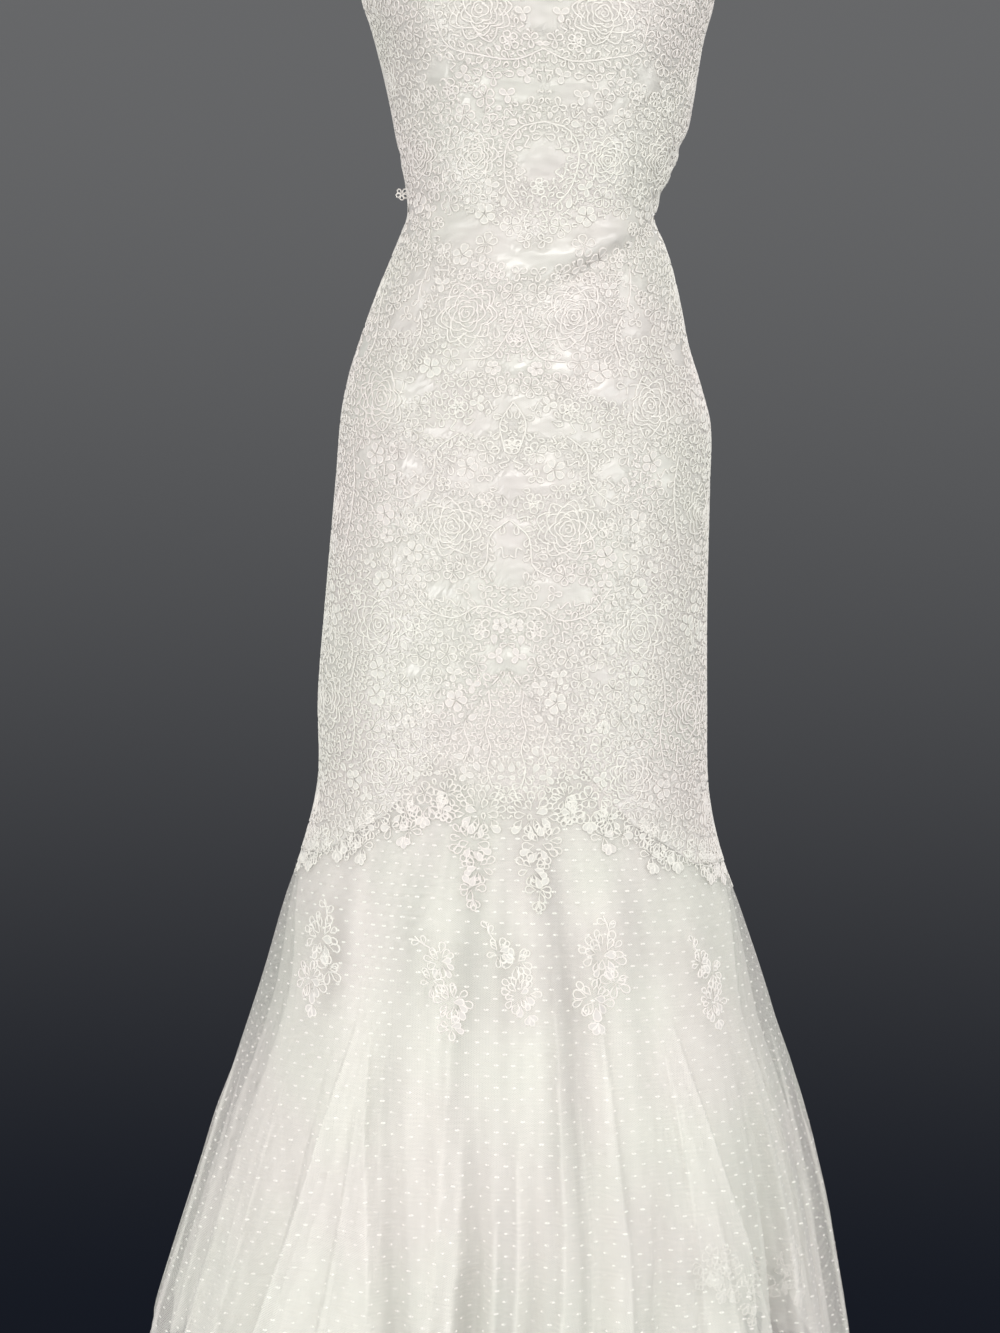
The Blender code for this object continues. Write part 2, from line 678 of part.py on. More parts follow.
def lace_solid(name, sheet, outlines):
    """One closed solid of outlines that overlap, cut along the sheet's facets and moved out from them."""
    marks = [a * FLAT_DEGREE for a in sheet.angles]
    drops = [level * FLAT_DROP for level in sheet.levels]
    flat_outlines = []
    for outline in outlines:
        corners = [Vector((line * FLAT_DEGREE, max(share, 0.0) * FLAT_DROP)) for line, share in outline]
        if flat_area(corners) < 0:
            corners.reverse()
        flat_outlines.append(corners)
    points, edges, faces, gaps = [], [], [], set()
    for loop in merged_outlines(flat_outlines):
        if flat_area(loop) < 0:
            loop.reverse()
            gaps.add(len(faces))
        faces.append(list(range(len(points), len(points) + len(loop))))
        points += loop
    low_x, high_x = min(p.x for p in points), max(p.x for p in points)
    low_y, high_y = min(p.y for p in points), max(p.y for p in points)
    deepest = min(int(part_of_scale(drops, high_y)) + 1, len(drops) - 1)
    turning = sheet.turning_columns(low_x, high_x, deepest)
    cuts = [((marks[c], low_y - 1), (marks[c], high_y + 1)) for c in turning]
    cuts += [((low_x - 1, drop), (high_x + 1, drop)) for drop in drops if low_y < drop < high_y]
    cuts += [
        ((marks[c], drops[r]), (marks[c + 1], drops[r + 1]))
        for c in range(len(marks) - 1) if low_x < marks[c + 1] and marks[c] < high_x
        for r in range(deepest) if sheet.twist(c, r) > LACE_TWIST
    ]
    for ends in cuts:
        edges.append((len(points), len(points) + 1))
        points += [Vector(end) for end in ends]
    flat, _, pieces, _, _, sources = delaunay_2d_cdt(points, edges, faces, 0, 1e-4, True)
    kept = without_pinches(
        [tuple(piece) for piece, source in zip(pieces, sources) if source and not gaps & set(source)]
    )
    used = sorted({v for piece in kept for v in piece})
    number = {v: k for k, v in enumerate(used)}
    near, far = [], []
    for v in used:
        column = part_of_scale(marks, flat[v].x)
        level = part_of_scale(drops, flat[v].y)
        near.append(sheet.on_facet(column, level, APPLIQUE_LIFT))
        far.append(sheet.on_facet(column, level, APPLIQUE_LIFT + APPLIQUE_WALL))
    size = len(used)
    tops = [tuple(number[v] for v in piece) for piece in kept]
    solid_faces = [tuple(size + v for v in top) for top in tops]
    solid_faces += [tuple(reversed(top)) for top in tops]
    sides = {(a, b) for top in tops for a, b in zip(top, top[1:] + top[:1])}
    for a, b in sorted(sides):
        if (b, a) not in sides:
            solid_faces += [(a, b, size + b), (a, size + b, size + a)]
    if signed_volume(near + far, solid_faces) < 0:
        solid_faces = [tuple(reversed(face)) for face in solid_faces]
    return add_object(name, near + far, solid_faces, "lace")


def spaced(start, end, step):
    count = max(1, round((end - start) / step))
    return [start + (end - start) * k / count for k in range(count + 1)]


def panel_height(angle, level):
    """Height of a level: fixed in the middle, spread evenly down to the seam and up to the neckline."""
    last = len(PANEL_LEVELS) - 1
    if level < LEVELS_BELOW:
        share = level / LEVELS_BELOW
        return seam_height(angle) * (1 - share) + PANEL_LEVELS[0] * share
    if level > LEVELS_BELOW + last:
        share = (level - LEVELS_BELOW - last) / LEVELS_ABOVE
        return PANEL_LEVELS[-1] * (1 - share) + neckline_height(angle) * share
    k = min(int(level) - LEVELS_BELOW, last - 1)
    share = level - LEVELS_BELOW - k
    return PANEL_LEVELS[k] * (1 - share) + PANEL_LEVELS[k + 1] * share


def build_panels():
    levels = list(range(LEVELS_BELOW + len(PANEL_LEVELS) + LEVELS_ABOVE))
    for panel in PANELS:
        sheet = Sheet(
            spaced(panel.start, panel.end, PANEL_STEP),
            levels,
            lambda angle, level: body_point(angle, panel_height(angle, level)),
            trim=SEAM_GAP / 2,
        )
        sheet.solid(panel.name, LACE_PANEL_WALL, "lace")


def build_binding():
    def binding_point(angle, level):
        height = neckline_height(angle)
        edge = body_point(angle, height)
        out = Vector((edge.x, edge.y, 0)).normalized() * (BINDING_WALL - LACE_PANEL_WALL) / 2
        return edge + out + Vector((0, 0, SEAM_GAP + level * BINDING_HEIGHT))

    sheet = Sheet(spaced(-180.0, 180.0, PANEL_STEP), [0.0, 1.0], binding_point, trim=SEAM_GAP)
    sheet.solid("neck_binding", BINDING_WALL, "satin")


def fold_columns(start, end, fine):
    """Columns down a skirt piece: at each valley's floor and sides, at the seam's corners, and between.

    Fine ones have a column halfway up each side of a valley too."""
    corners = {sign * point.angle + lap for point in SKIRT_SEAM for sign in (-1, 1) for lap in (0, 360)}
    columns = {c for c in corners if start <= c <= end}
    floors = [(v, v.hem_angle + lap) for v in VALLEYS for lap in (0, 360) if start < v.hem_angle + lap < end]
    columns |= {floor for _, floor in floors}
    for part in (-1, 1) if fine else ():
        for valley, floor in floors:
            at = floor + part * valley.half_width
            if start < at < end and min(abs(at - c) for c in columns) > NARROWEST_COLUMN:
                columns.add(at)
    columns = sorted(columns)
    filled = columns[:1]
    for low, high in zip(columns, columns[1:]):
        count = math.ceil((high - low) / (WIDEST_COLUMN if fine else WIDEST_INNER_COLUMN))
        filled += [low + (high - low) * k / count for k in range(1, count + 1)]
    if not fine:
        return filled
    halfway = [
        (low + high) / 2
        for low, high in zip(filled, filled[1:])
        if high - low > SPLIT_COLUMN and any(floor in (low, high) for _, floor in floors)
    ]
    return sorted(filled + halfway)


def build_skirt():
    """The three layers, each in a front and a back piece; gives back the outer ones."""
    outer = {}
    for layer in LAYERS:
        for half, start, end in HALVES:
            sheet = Sheet(
                fold_columns(start, end, layer.fine),
                SKIRT_LEVELS if layer.fine else INNER_LEVELS,
                lambda angle, share: skirt_point(layer, angle, share),
                trim=SEAM_GAP / 2,
            )
            sheet.solid(f"{layer.name}_{half}", layer.wall, layer.finish)
            if layer is LAYERS[0]:
                outer[half] = sheet
    return outer


def design_outlines(placed, side):
    """Outlines of one rosette, bouquet or spray, mirrored on the other side of the gown."""
    shapes = {"rosette": SPRAY[:1], "bouquet": BOUQUET}.get(placed.name, SPRAY)
    angle = placed.angle * side
    return [
        laid_outline(shape_outline(shape), angle, placed.height, placed.turn, placed.scale, side)
        for shape in shapes
    ]


def shifted(outlines, lap):
    return [[(line + lap, share) for line, share in outline] for outline in outlines]


def build_lace(outer):
    for side, word in ((1, "left"), (-1, "right")):
        for half, rows, low, high in (("front", FRONT_EDGE, 0.0, 90.0), ("back", BACK_EDGE, 90.0, 180.0)):
            start, end = low + LACE_END_GAP, high - LACE_END_GAP
            corners = [point.angle for point in SKIRT_SEAM if start < point.angle < end]
            band = [(side * at, 0.0) for at in (start, *corners, end)]
            lower = [(at, EDGE_BAND / (seam_height(at) - HEM)) for at, _ in reversed(band)]
            outlines = [band + lower]
            for placed in rows:
                outlines += design_outlines(placed, side)
            outlines = [[(min(max(line * side, start), end) * side, share) for line, share in outline]
                        for outline in outlines]
            if half == "back" and side < 0:
                outlines = shifted(outlines, 360.0)
            lace_solid(f"lace_edge_{half}_{word}", outer[half], outlines)
    for placed in SPRAYS:
        half = "front" if abs(placed.angle) < 90 else "back"
        lap = 360.0 if placed.angle < -90 else 0.0
        outlines = [
            laid_outline(shape_outline(shape), placed.angle, placed.height, placed.turn, placed.scale)
            for shape in SPRAY
        ]
        lace_solid(placed.name, outer[half], shifted(outlines, lap))


def box_mesh(size, center):
    """Corner points and faces of a box."""
    around = ((-1, -1), (1, -1), (1, 1), (-1, 1))
    points = [
        Vector([c + s * sign / 2 for c, s, sign in zip(center, size, (x, y, z))])
        for z in (-1, 1) for x, y in around
    ]
    faces = [(0, 3, 2, 1), (4, 5, 6, 7), (0, 1, 5, 4), (1, 2, 6, 5), (2, 3, 7, 6), (3, 0, 4, 7)]
    return points, faces


def prism(outline, start, end):
    """Closed prism of an outline in the YZ plane, from one X to another."""
    count = len(outline)
    points = [Vector((x, y, z)) for x in (start, end) for y, z in outline]
    faces = [tuple(range(count)), tuple(range(2 * count - 1, count - 1, -1))]
    faces += [(k, k + count, (k + 1) % count + count, (k + 1) % count) for k in range(count)]
    if signed_prism(points, faces) < 0:
        faces = [tuple(reversed(face)) for face in faces]
    return points, faces


def signed_prism(points, faces):
    triangles = [(f[0], f[k], f[k + 1]) for f in faces for k in range(1, len(f) - 1)]
    return signed_volume(points, triangles)


def joined(base, others):
    """Union of a solid with others that reach into it."""
    for other in others:
        union = base.modifiers.new("union", "BOOLEAN")
        union.operation = "UNION"
        union.object = other
        other.hide_render = True
        other.display_type = "WIRE"
    return base


def build_loose_leaf():
    """A leaf of the lace that has come loose at the side seam and stands off it."""
    length, width, wall = LOOSE_LEAF_SIZE
    foot = body_point(-90.0, LOOSE_LEAF_HEIGHT)
    side = [(0.00, 0.25), (0.40, 0.50), (0.80, 0.40)]
    outline = [(s, -w) for s, w in side] + [(1.00, 0.00)] + [(s, w) for s, w in reversed(side)]
    rise = math.radians(LOOSE_LEAF_RISE)
    lean = Vector((-math.cos(rise), 0, math.sin(rise)))
    across = Vector((math.sin(rise), 0, math.cos(rise)))
    start = foot - Vector((SEAM_GAP + APPLIQUE_LIFT + side[0][1] * width * math.sin(rise), 0, 0))
    flat = [start + lean * length * s + across * width * w for s, w in outline]
    count = len(flat)
    points = [p + Vector((0, shift, 0)) for shift in (-wall / 2, wall / 2) for p in flat]
    faces = [tuple(range(count)), tuple(range(2 * count - 1, count - 1, -1))]
    faces += [(k, k + count, (k + 1) % count + count, (k + 1) % count) for k in range(count)]
    if signed_prism(points, faces) < 0:
        faces = [tuple(reversed(face)) for face in faces]
    add_object("loose_leaf", points, faces, "lace")


def build_zip():
    """Slider on the centre back seam, with two ears that hold the tab's barrel between them."""
    width, depth, tall = SLIDER_SIZE
    nearby = [(turn, rise) for turn in (-2, 0, 2) for rise in (-tall / 2, 0, tall / 2)]
    reach = max(body_point(180.0 + turn, ZIP_HEIGHT + rise).y for turn, rise in nearby)
    middle = body_point(180.0, ZIP_HEIGHT).x
    back = reach + SEAM_GAP
    plate = box_mesh((width, depth, tall), (middle, back + depth / 2, ZIP_HEIGHT))
    slider = add_object("zip_slider", *plate, "metal")
    ear_wide, ear_deep, ear_tall = EAR_SIZE
    pin_y = back + depth + ear_deep - BARREL_RADIUS - TAB_CLEARANCE
    pin_z = ZIP_HEIGHT + tall / 2 - EAR_BELOW_TOP - ear_tall / 2
    ears = []
    for side, word in ((-1, "a"), (1, "b")):
        center = (middle + side * (EAR_APART + ear_wide) / 2, back + depth + (ear_deep - EAR_ROOT) / 2, pin_z)
        ear = box_mesh((ear_wide, ear_deep + EAR_ROOT, ear_tall), center)
        ears.append(add_object(f"cutter_ear_{word}", *ear, "metal"))
    joined(slider, ears)

    tab_wide, tab_deep, tab_long = TAB_SIZE
    hinge = bpy.data.objects.new("zip_tab_hinge", None)
    hinge.location = (middle, pin_y, pin_z)
    bpy.context.scene.collection.objects.link(hinge)
    barrel_half = EAR_APART / 2 - TAB_CLEARANCE
    turns = [math.radians(30 * k + 15) for k in range(12)]
    around = [(BARREL_RADIUS * math.cos(a), BARREL_RADIUS * math.sin(a)) for a in turns]
    barrel = add_object("zip_tab", *prism(around, -barrel_half, barrel_half), "metal")
    shank_size = (2 * (barrel_half - TAB_CLEARANCE), tab_deep, SHANK_LENGTH)
    shank = add_object("cutter_shank", *box_mesh(shank_size, (0, 0, -SHANK_LENGTH / 2)), "metal")
    plate_size = (tab_wide, tab_deep, tab_long - PLATE_START)
    plate_center = (0, 0, -(tab_long + PLATE_START) / 2)
    pull = add_object("cutter_pull", *box_mesh(plate_size, plate_center), "metal")
    joined(barrel, [shank, pull])
    for piece in (barrel, shank, pull):
        piece.parent = hinge


for old in list(bpy.data.objects):
    bpy.data.objects.remove(old, do_unlink=True)

build_panels()
build_binding()
outer_sheets = build_skirt()
build_lace(outer_sheets)
build_loose_leaf()
build_zip()
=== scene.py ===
"""Looks of the strapless trumpet wedding gown: corded lace body, dotted tulle skirt, studio and camera."""

import math
import random
from collections import namedtuple

import bpy
import numpy as np
from mathutils import Matrix, Vector


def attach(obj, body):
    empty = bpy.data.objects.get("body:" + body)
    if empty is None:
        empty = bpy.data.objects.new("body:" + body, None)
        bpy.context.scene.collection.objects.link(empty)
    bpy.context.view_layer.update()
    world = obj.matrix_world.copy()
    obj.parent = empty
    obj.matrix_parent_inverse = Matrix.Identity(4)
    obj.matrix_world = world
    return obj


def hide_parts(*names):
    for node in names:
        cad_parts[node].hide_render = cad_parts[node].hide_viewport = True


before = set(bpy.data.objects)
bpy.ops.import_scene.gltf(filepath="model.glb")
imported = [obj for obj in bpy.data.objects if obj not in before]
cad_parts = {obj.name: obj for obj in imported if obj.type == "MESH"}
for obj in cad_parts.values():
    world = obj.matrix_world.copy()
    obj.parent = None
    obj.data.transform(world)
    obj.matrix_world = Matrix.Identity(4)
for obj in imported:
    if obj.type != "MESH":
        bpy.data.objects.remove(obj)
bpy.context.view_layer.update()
scene = bpy.context.scene


# Body panels
#
# Seven panels of lace over pale satin are cut from the neckline to the raised V at the knee and sewn together
# in princess seams. The form below is the worn one: level sections, bust cups, and creases pulled in by the
# fit.

Section = namedtuple("Section", "height half_width front back shift twist")
SECTIONS = [Section(*row) for row in (
    (-1.08, 0.341, 0.302, 0.342, 0.0, 0.0), (-1.034, 0.33, 0.288, 0.322, 0.002, 0.0),
    (-0.934, 0.305, 0.256, 0.28, 0.006, 0.0), (-0.835, 0.2766, 0.222, 0.236, 0.006, -0.5),
    (-0.736, 0.246, 0.184, 0.192, 0.005, -1.0), (-0.657, 0.221, 0.153, 0.156, 0.001, -1.6),
    (-0.598, 0.1995, 0.133, 0.132, -0.001, -2.0), (-0.54, 0.1875, 0.123, 0.12, -0.002, -2.0),
    (-0.462, 0.1864, 0.119, 0.117, -0.005, -2.0), (-0.365, 0.1822, 0.115, 0.12, -0.004, -2.4),
    (-0.25, 0.1778, 0.111, 0.129, -0.001, -4.0), (-0.193, 0.1755, 0.109, 0.128, 0.0, -4.0),
    (-0.155, 0.167, 0.106, 0.122, -0.002, -3.7), (-0.117, 0.155, 0.102, 0.113, -0.003, -3.0),
    (-0.079, 0.1443, 0.098, 0.103, -0.001, -2.0), (-0.041, 0.1318, 0.093, 0.092, 0.001, 0.0),
    (-0.022, 0.1246, 0.09, 0.086, 0.001, 1.0), (0.0, 0.1166, 0.088, 0.082, 0.0, 1.5),
    (0.035, 0.1248, 0.093, 0.086, 0.003, 1.5), (0.072, 0.136, 0.099, 0.09, 0.006, 1.0),
    (0.11, 0.1434, 0.106, 0.093, 0.005, 1.0), (0.166, 0.155, 0.118, 0.094, 0.001, 1.0),
    (0.203, 0.1657, 0.124, 0.092, -0.001, 1.0), (0.29, 0.176, 0.12, 0.088, -0.001, 1.0),
)]
# By degrees from the centre front: the height of the neckline, and of the V seam
NECKLINE = np.array([
    (0, 0.232), (15, 0.252), (30, 0.27), (45, 0.268), (60, 0.254), (90, 0.226), (120, 0.206), (150, 0.188),
    (180, 0.178),
])
SKIRT_SEAM = np.array([
    (0, -0.42), (22.5, -0.515), (37.5, -0.565), (60, -0.605), (90, -0.612), (120, -0.612), (150, -0.585),
    (180, -0.52),
])
CUP_ANGLE, CUP_HEIGHT, CUP_SPREAD, CUP_REACH, CUP_SWELL = 34.0, 0.168, 21.0, 0.052, 0.017
SWING_ANGLE, SWING_REACH = 7.0, 0.10

Crease = namedtuple("Crease", "start_angle start_height end_angle end_height half_width rise")
CREASES = [Crease(*row) for row in (
    (-16, -0.062, 62, -0.004, 0.016, 0.0064), (-2, -0.073, 74, -0.01, 0.012, -0.006),
    (18, -0.188, 52, -0.122, 0.014, 0.003), (16, -0.222, 48, -0.16, 0.014, -0.003),
    (62, 0.052, 100, 0.078, 0.012, -0.004), (64, 0.014, 100, 0.034, 0.01, -0.003),
    (-70, 0.02, -24, -0.016, 0.012, -0.0025), (118, -0.05, 176, -0.014, 0.013, -0.0045),
    (-112, -0.062, -172, -0.02, 0.013, -0.0045), (-118, -0.034, -176, 0.01, 0.012, 0.003),
    (112, -0.15, 160, -0.1, 0.014, -0.003),
)]
SMALL_CREASES = [Crease(*row) for row in (
    (-14, -0.06, 50, -0.012, 0.0085, 0.0022), (4, -0.08, 50, -0.014, 0.0065, -0.0046),
    (26, -0.034, 88, 0.001, 0.006, -0.003), (-52, -0.03, -6, -0.052, 0.007, 0.0026),
    (-44, -0.072, -6, -0.04, 0.008, 0.0026), (-30, -0.026, 12, -0.034, 0.007, 0.0016),
    (22, -0.004, 50, 0.012, 0.005, 0.0016), (-4, -0.094, 40, -0.058, 0.008, -0.0018),
    (54, -0.122, 76, -0.082, 0.006, 0.0018), (50, -0.136, 74, -0.098, 0.006, -0.0016),
    (26, -0.158, 40, -0.138, 0.005, 0.0016), (20, -0.178, 32, -0.16, 0.005, 0.0014),
    (-32, -0.226, -19, -0.192, 0.006, 0.0016), (-8, -0.202, 2, -0.196, 0.004, 0.001),
    (-1, -0.23, 7, -0.224, 0.004, 0.001), (74, 0.066, 112, 0.072, 0.005, -0.002),
    (70, 0.046, 116, 0.048, 0.005, -0.0022), (76, 0.026, 110, 0.024, 0.005, -0.0018),
    (78, 0.004, 112, 0.002, 0.005, -0.002), (-112, 0.052, -80, 0.058, 0.005, -0.0014),
    (-110, 0.03, -84, 0.03, 0.005, -0.0014), (-66, -0.15, -44, -0.12, 0.008, -0.0014),
    (-60, 0.09, -34, 0.06, 0.008, -0.0012), (30, 0.096, 56, 0.064, 0.008, -0.0012),
    (-30, -0.33, 24, -0.318, 0.01, -0.001), (124, -0.02, 172, 0.02, 0.007, 0.002),
    (-150, -0.09, -174, -0.06, 0.008, -0.0018), (120, 0.04, 158, 0.064, 0.007, -0.0016),
    (-122, 0.08, -164, 0.05, 0.007, -0.0014), (138, -0.25, 174, -0.222, 0.009, -0.0016),
)]
CREASE_FADE = 0.7
SEAM_DIP = 0.0002

Panel = namedtuple("Panel", "name start end")
FRONT_PANELS = [Panel(*row) for row in (
    ("panel_side_front_right", -90.0, -37.5), ("panel_front", -37.5, 37.5),
    ("panel_side_front_left", 37.5, 90.0),
)]
BACK_PANELS = [Panel(*row) for row in (
    ("panel_side_back_left", 90.0, 142.5), ("panel_back_left", 142.5, 180.0),
    ("panel_back_right", 180.0, 217.5), ("panel_side_back_right", 217.5, 270.0),
)]
PANEL_COLUMN, PANEL_ROWS = 1.875, 119

SATIN = (0.600, 0.581, 0.552)
THREAD = (0.790, 0.764, 0.726)
BELOW_LACE = (0.71, 0.692, 0.660)
PINK_TINT, GREEN_TINT = (1.0, 0.976, 0.978), (0.985, 1.0, 0.972)
NET_SHARE, CORD_SHARE = 0.28, 0.80


def smooth_curve(places, values, at):
    """A table's value at any place, on a smooth curve through its rows."""
    slopes = np.gradient(values, places, edge_order=1)
    slopes[1:-1] = (values[2:] - values[:-2]) / (places[2:] - places[:-2])
    at = np.clip(at, places[0], places[-1])
    k = np.clip(np.searchsorted(places, at, side="right") - 1, 0, len(places) - 2)
    span = places[k + 1] - places[k]
    t = (at - places[k]) / span
    return (
        values[k] * (1 + 2 * t) * (1 - t) ** 2
        + values[k + 1] * t * t * (3 - 2 * t)
        + span * slopes[k] * t * (1 - t) ** 2
        - span * slopes[k + 1] * t * t * (1 - t)
    )


def smooth_step(value):
    value = np.clip(value, 0.0, 1.0)
    return value * value * (3.0 - 2.0 * value)


def wound_back(angle):
    """An angle brought between -180 and 180 degrees from the centre front."""
    return (angle + 180.0) % 360.0 - 180.0


def folded(angle):
    """Degrees from the centre front on either side, 0 to 180."""
    return np.abs(wound_back(angle))


section_table = np.array(SECTIONS)


def section_at(height, *names):
    """What the table of sections says in these columns at any height."""
    columns = [section_table[:, Section._fields.index(name)] for name in names]
    return [smooth_curve(section_table[:, 0], column, height) for column in columns]


def outline(angle, height, outwards=0.0):
    """Points of the level sections, moved outwards square to the outline."""
    half, front, back, shift, twist = section_at(height, *Section._fields[1:])
    turned = np.radians(angle + twist)
    across, along = np.sin(turned), np.cos(turned)
    depth = np.where(along > 0, front, back)
    square = np.stack([across / half, -along / depth, 0 * across], -1)
    square /= np.linalg.norm(square, axis=-1, keepdims=True)
    point = np.stack([shift + half * across, -depth * along, height + 0 * across], -1)
    return point + square * np.asarray(outwards)[..., None]


def crease_rise(creases, angle, height):
    """Sum of the creases near each point, each fading towards its ends."""
    degree = math.radians(1) * sum(section_at(height, "half_width", "front")) / 2
    angle = wound_back(angle)
    total = np.zeros_like(angle)
    for row in creases:
        start_x, end_x = row.start_angle * degree, row.end_angle * degree
        run_x, run_y = end_x - start_x, row.end_height - row.start_height
        here_x, here_y = angle * degree - start_x, height - row.start_height
        along = (here_x * run_x + here_y * run_y) / (run_x**2 + run_y**2)
        aside = np.hypot(here_x - run_x * along, here_y - run_y * along) / row.half_width
        total += row.rise * np.exp(-aside * aside) * np.sin(math.pi * np.clip(along, 0, 1)) ** CREASE_FADE
    return total


def swung(angle, height):
    """Lines down the body swing towards the sides at the waist."""
    return angle + SWING_ANGLE * np.exp(-((height / SWING_REACH) ** 2)) * np.sin(np.radians(2 * angle))


def body_points(angle, height, sink=0.0):
    angle = swung(angle, height)
    swell = sum(
        CUP_SWELL * np.exp(-((angle - side) / CUP_SPREAD) ** 2 - ((height - CUP_HEIGHT) / CUP_REACH) ** 2)
        for side in (-CUP_ANGLE, CUP_ANGLE)
    )
    rise = crease_rise(CREASES, angle, height) + crease_rise(SMALL_CREASES, angle, height)
    return outline(angle, height, swell + rise - sink)


# Distance round the plain outline from the first angle, by height and angle
girth_heights = np.linspace(-1.08, 0.29, 138)
girth_angles = np.arange(-110.0, 290.5, 1.0)
girth_points = outline(*np.broadcast_arrays(girth_angles[None, :], girth_heights[:, None]))


def run_along(points):
    """Distance run along each row of points, from its first."""
    steps = np.linalg.norm(np.diff(points, axis=1), axis=2)
    return np.hstack([np.zeros((len(points), 1)), np.cumsum(steps, axis=1)])


girth_runs = run_along(girth_points)


def around(angle, height, middle=0.0):
    """Distance round the body from its middle line, in metres."""
    row = (height - girth_heights[0]) / (girth_heights[1] - girth_heights[0])
    row = np.clip(row, 0, len(girth_heights) - 1.001)
    k, part = row.astype(int), row % 1

    def run_at(degrees):
        column = degrees - girth_angles[0]
        c, share = column.astype(int), column % 1
        low = girth_runs[k, c] * (1 - share) + girth_runs[k, c + 1] * share
        high = girth_runs[k + 1, c] * (1 - share) + girth_runs[k + 1, c + 1] * share
        return low * (1 - part) + high * part

    return run_at(angle) - run_at(middle + 0 * angle)


# Flat maps are kept above zero: the middle line lies at this width, and the waist at this height
MAP_MIDDLE = np.array([1.5, 1.2])


def add_object(name, data):
    made = bpy.data.objects.new(name, data)
    scene.collection.objects.link(made)
    return made


def add_piece(name, points, edges, faces, material=None):
    """A new piece at the origin, with a mesh of its own."""
    mesh = bpy.data.meshes.new(name)
    mesh.from_pydata(points, edges, faces)
    if material is not None:
        mesh.shade_smooth()
        mesh.materials.append(material)
    return add_object(name, mesh)


def grid_faces(index):
    """The faces between the rows of a grid of point numbers."""
    return np.stack([index[:-1, :-1], index[:-1, 1:], index[1:, 1:], index[1:, :-1]], -1).reshape(-1, 4)


def add_cloth(name, points, maps, material):
    """A sheet of cloth from a grid of points, rows from low to high, with its flat maps."""
    rows, columns = points.shape[:2]
    faces = grid_faces(np.arange(rows * columns).reshape(rows, columns))
    piece = add_piece(name, points.reshape(-1, 3).tolist(), [], faces.tolist(), material)
    for map_name, places in maps.items():
        layer = piece.data.uv_layers.new(name=map_name)
        layer.uv.foreach_set("vector", (places.reshape(-1, 2) + MAP_MIDDLE)[faces].astype(np.float32).ravel())
    return piece


def settle(piece):
    """Make a piece's modifiers its own plain mesh."""
    depsgraph = bpy.context.evaluated_depsgraph_get()
    made = bpy.data.meshes.new_from_object(
        piece.evaluated_get(depsgraph), preserve_all_data_layers=True, depsgraph=depsgraph
    )
    piece.modifiers.clear()
    piece.data = made
    made.name = piece.name


def give_wall(piece, wall):
    """Closed cloth: the outer face, and the same face moved in by the wall."""
    solidify = piece.modifiers.new("wall", "SOLIDIFY")
    solidify.thickness = wall
    solidify.offset = -1
    settle(piece)
    piece.data.set_sharp_from_angle(angle=math.radians(60))


def add_node(tree, kind, values=None, **settings):
    """A node with its settings, and a value or a link on each named socket."""
    made = tree.nodes.new(kind)
    for name, value in settings.items():
        setattr(made, name, value)
    for name, value in (values or {}).items():
        socket = made.inputs[name]
        if isinstance(value, bpy.types.NodeSocket):
            tree.links.new(value, socket)
        else:
            socket.default_value = (*value, 1.0) if socket.type == "RGBA" else value
    return made


def result(tree, kind, values=None, **settings):
    """The first output of a new node."""
    return add_node(tree, kind, values, **settings).outputs[0]


def calc(tree, operation, *values):
    return result(tree, "ShaderNodeMath", dict(enumerate(values)), operation=operation)


def vector_calc(tree, operation, *values):
    return result(tree, "ShaderNodeVectorMath", dict(enumerate(values)), operation=operation)


def scaled(tree, vector, share):
    return result(tree, "ShaderNodeVectorMath", {0: vector, "Scale": share}, operation="SCALE")


def ranged(tree, value, low, high, start=0.0, end=1.0):
    """A value that runs from start to end, made to run from low to high."""
    values = {"Value": value, "From Min": start, "From Max": end, "To Min": low, "To Max": high}
    return result(tree, "ShaderNodeMapRange", values)


def blended(tree, share, low, high):
    """From one colour to another, by a share."""
    return add_node(tree, "ShaderNodeMix", {0: share, 6: low, 7: high}, data_type="RGBA").outputs[2]


def noise(tree, vector, scale, detail=2.0, distortion=0.0):
    values = {"Vector": vector, "Scale": scale, "Detail": detail, "Distortion": distortion}
    return result(tree, "ShaderNodeTexNoise", values)


def bump(tree, height, strength, distance, under=None):
    """A surface's normal with a relief on it, over another relief if there is one."""
    values = {"Height": height, "Strength": strength, "Distance": distance}
    return result(tree, "ShaderNodeBump", values | ({"Normal": under} if under else {}))


def add_material(name, color, roughness, **values):
    """A material with its shader, and its own numbers on the shader's sockets."""
    material = bpy.data.materials.new(name)
    material.use_nodes = True
    shader = material.node_tree.nodes["Principled BSDF"]
    shader.inputs["Base Color"].default_value = (*color, 1.0)
    shader.inputs["Roughness"].default_value = roughness
    for socket, value in values.items():
        shader.inputs[socket.replace("_", " ").title().replace("Ior", "IOR")].default_value = value
    return material, material.node_tree, shader


def feed(tree, shader, color, normal):
    tree.links.new(color, shader.inputs["Base Color"])
    tree.links.new(normal, shader.inputs["Normal"])


def add_group(name, outputs, **inputs):
    """An empty shader node group with a vector and its own numbers; gives back its tree, inputs and outputs."""
    tree = bpy.data.node_groups.new(name, "ShaderNodeTree")
    tree.interface.new_socket("Vector", in_out="INPUT", socket_type="NodeSocketVector")
    for socket, value in inputs.items():
        tree.interface.new_socket(socket, in_out="INPUT", socket_type="NodeSocketFloat").default_value = value
    for socket in outputs:
        tree.interface.new_socket(socket, in_out="OUTPUT", socket_type="NodeSocketFloat")
    return tree, tree.nodes.new("NodeGroupInput").outputs, tree.nodes.new("NodeGroupOutput").inputs


def use_group(tree, group, vector, **values):
    """The outputs of a group that is placed in a material with the material's own values."""
    return add_node(tree, "ShaderNodeGroup", {"Vector": vector} | values, node_tree=group).outputs


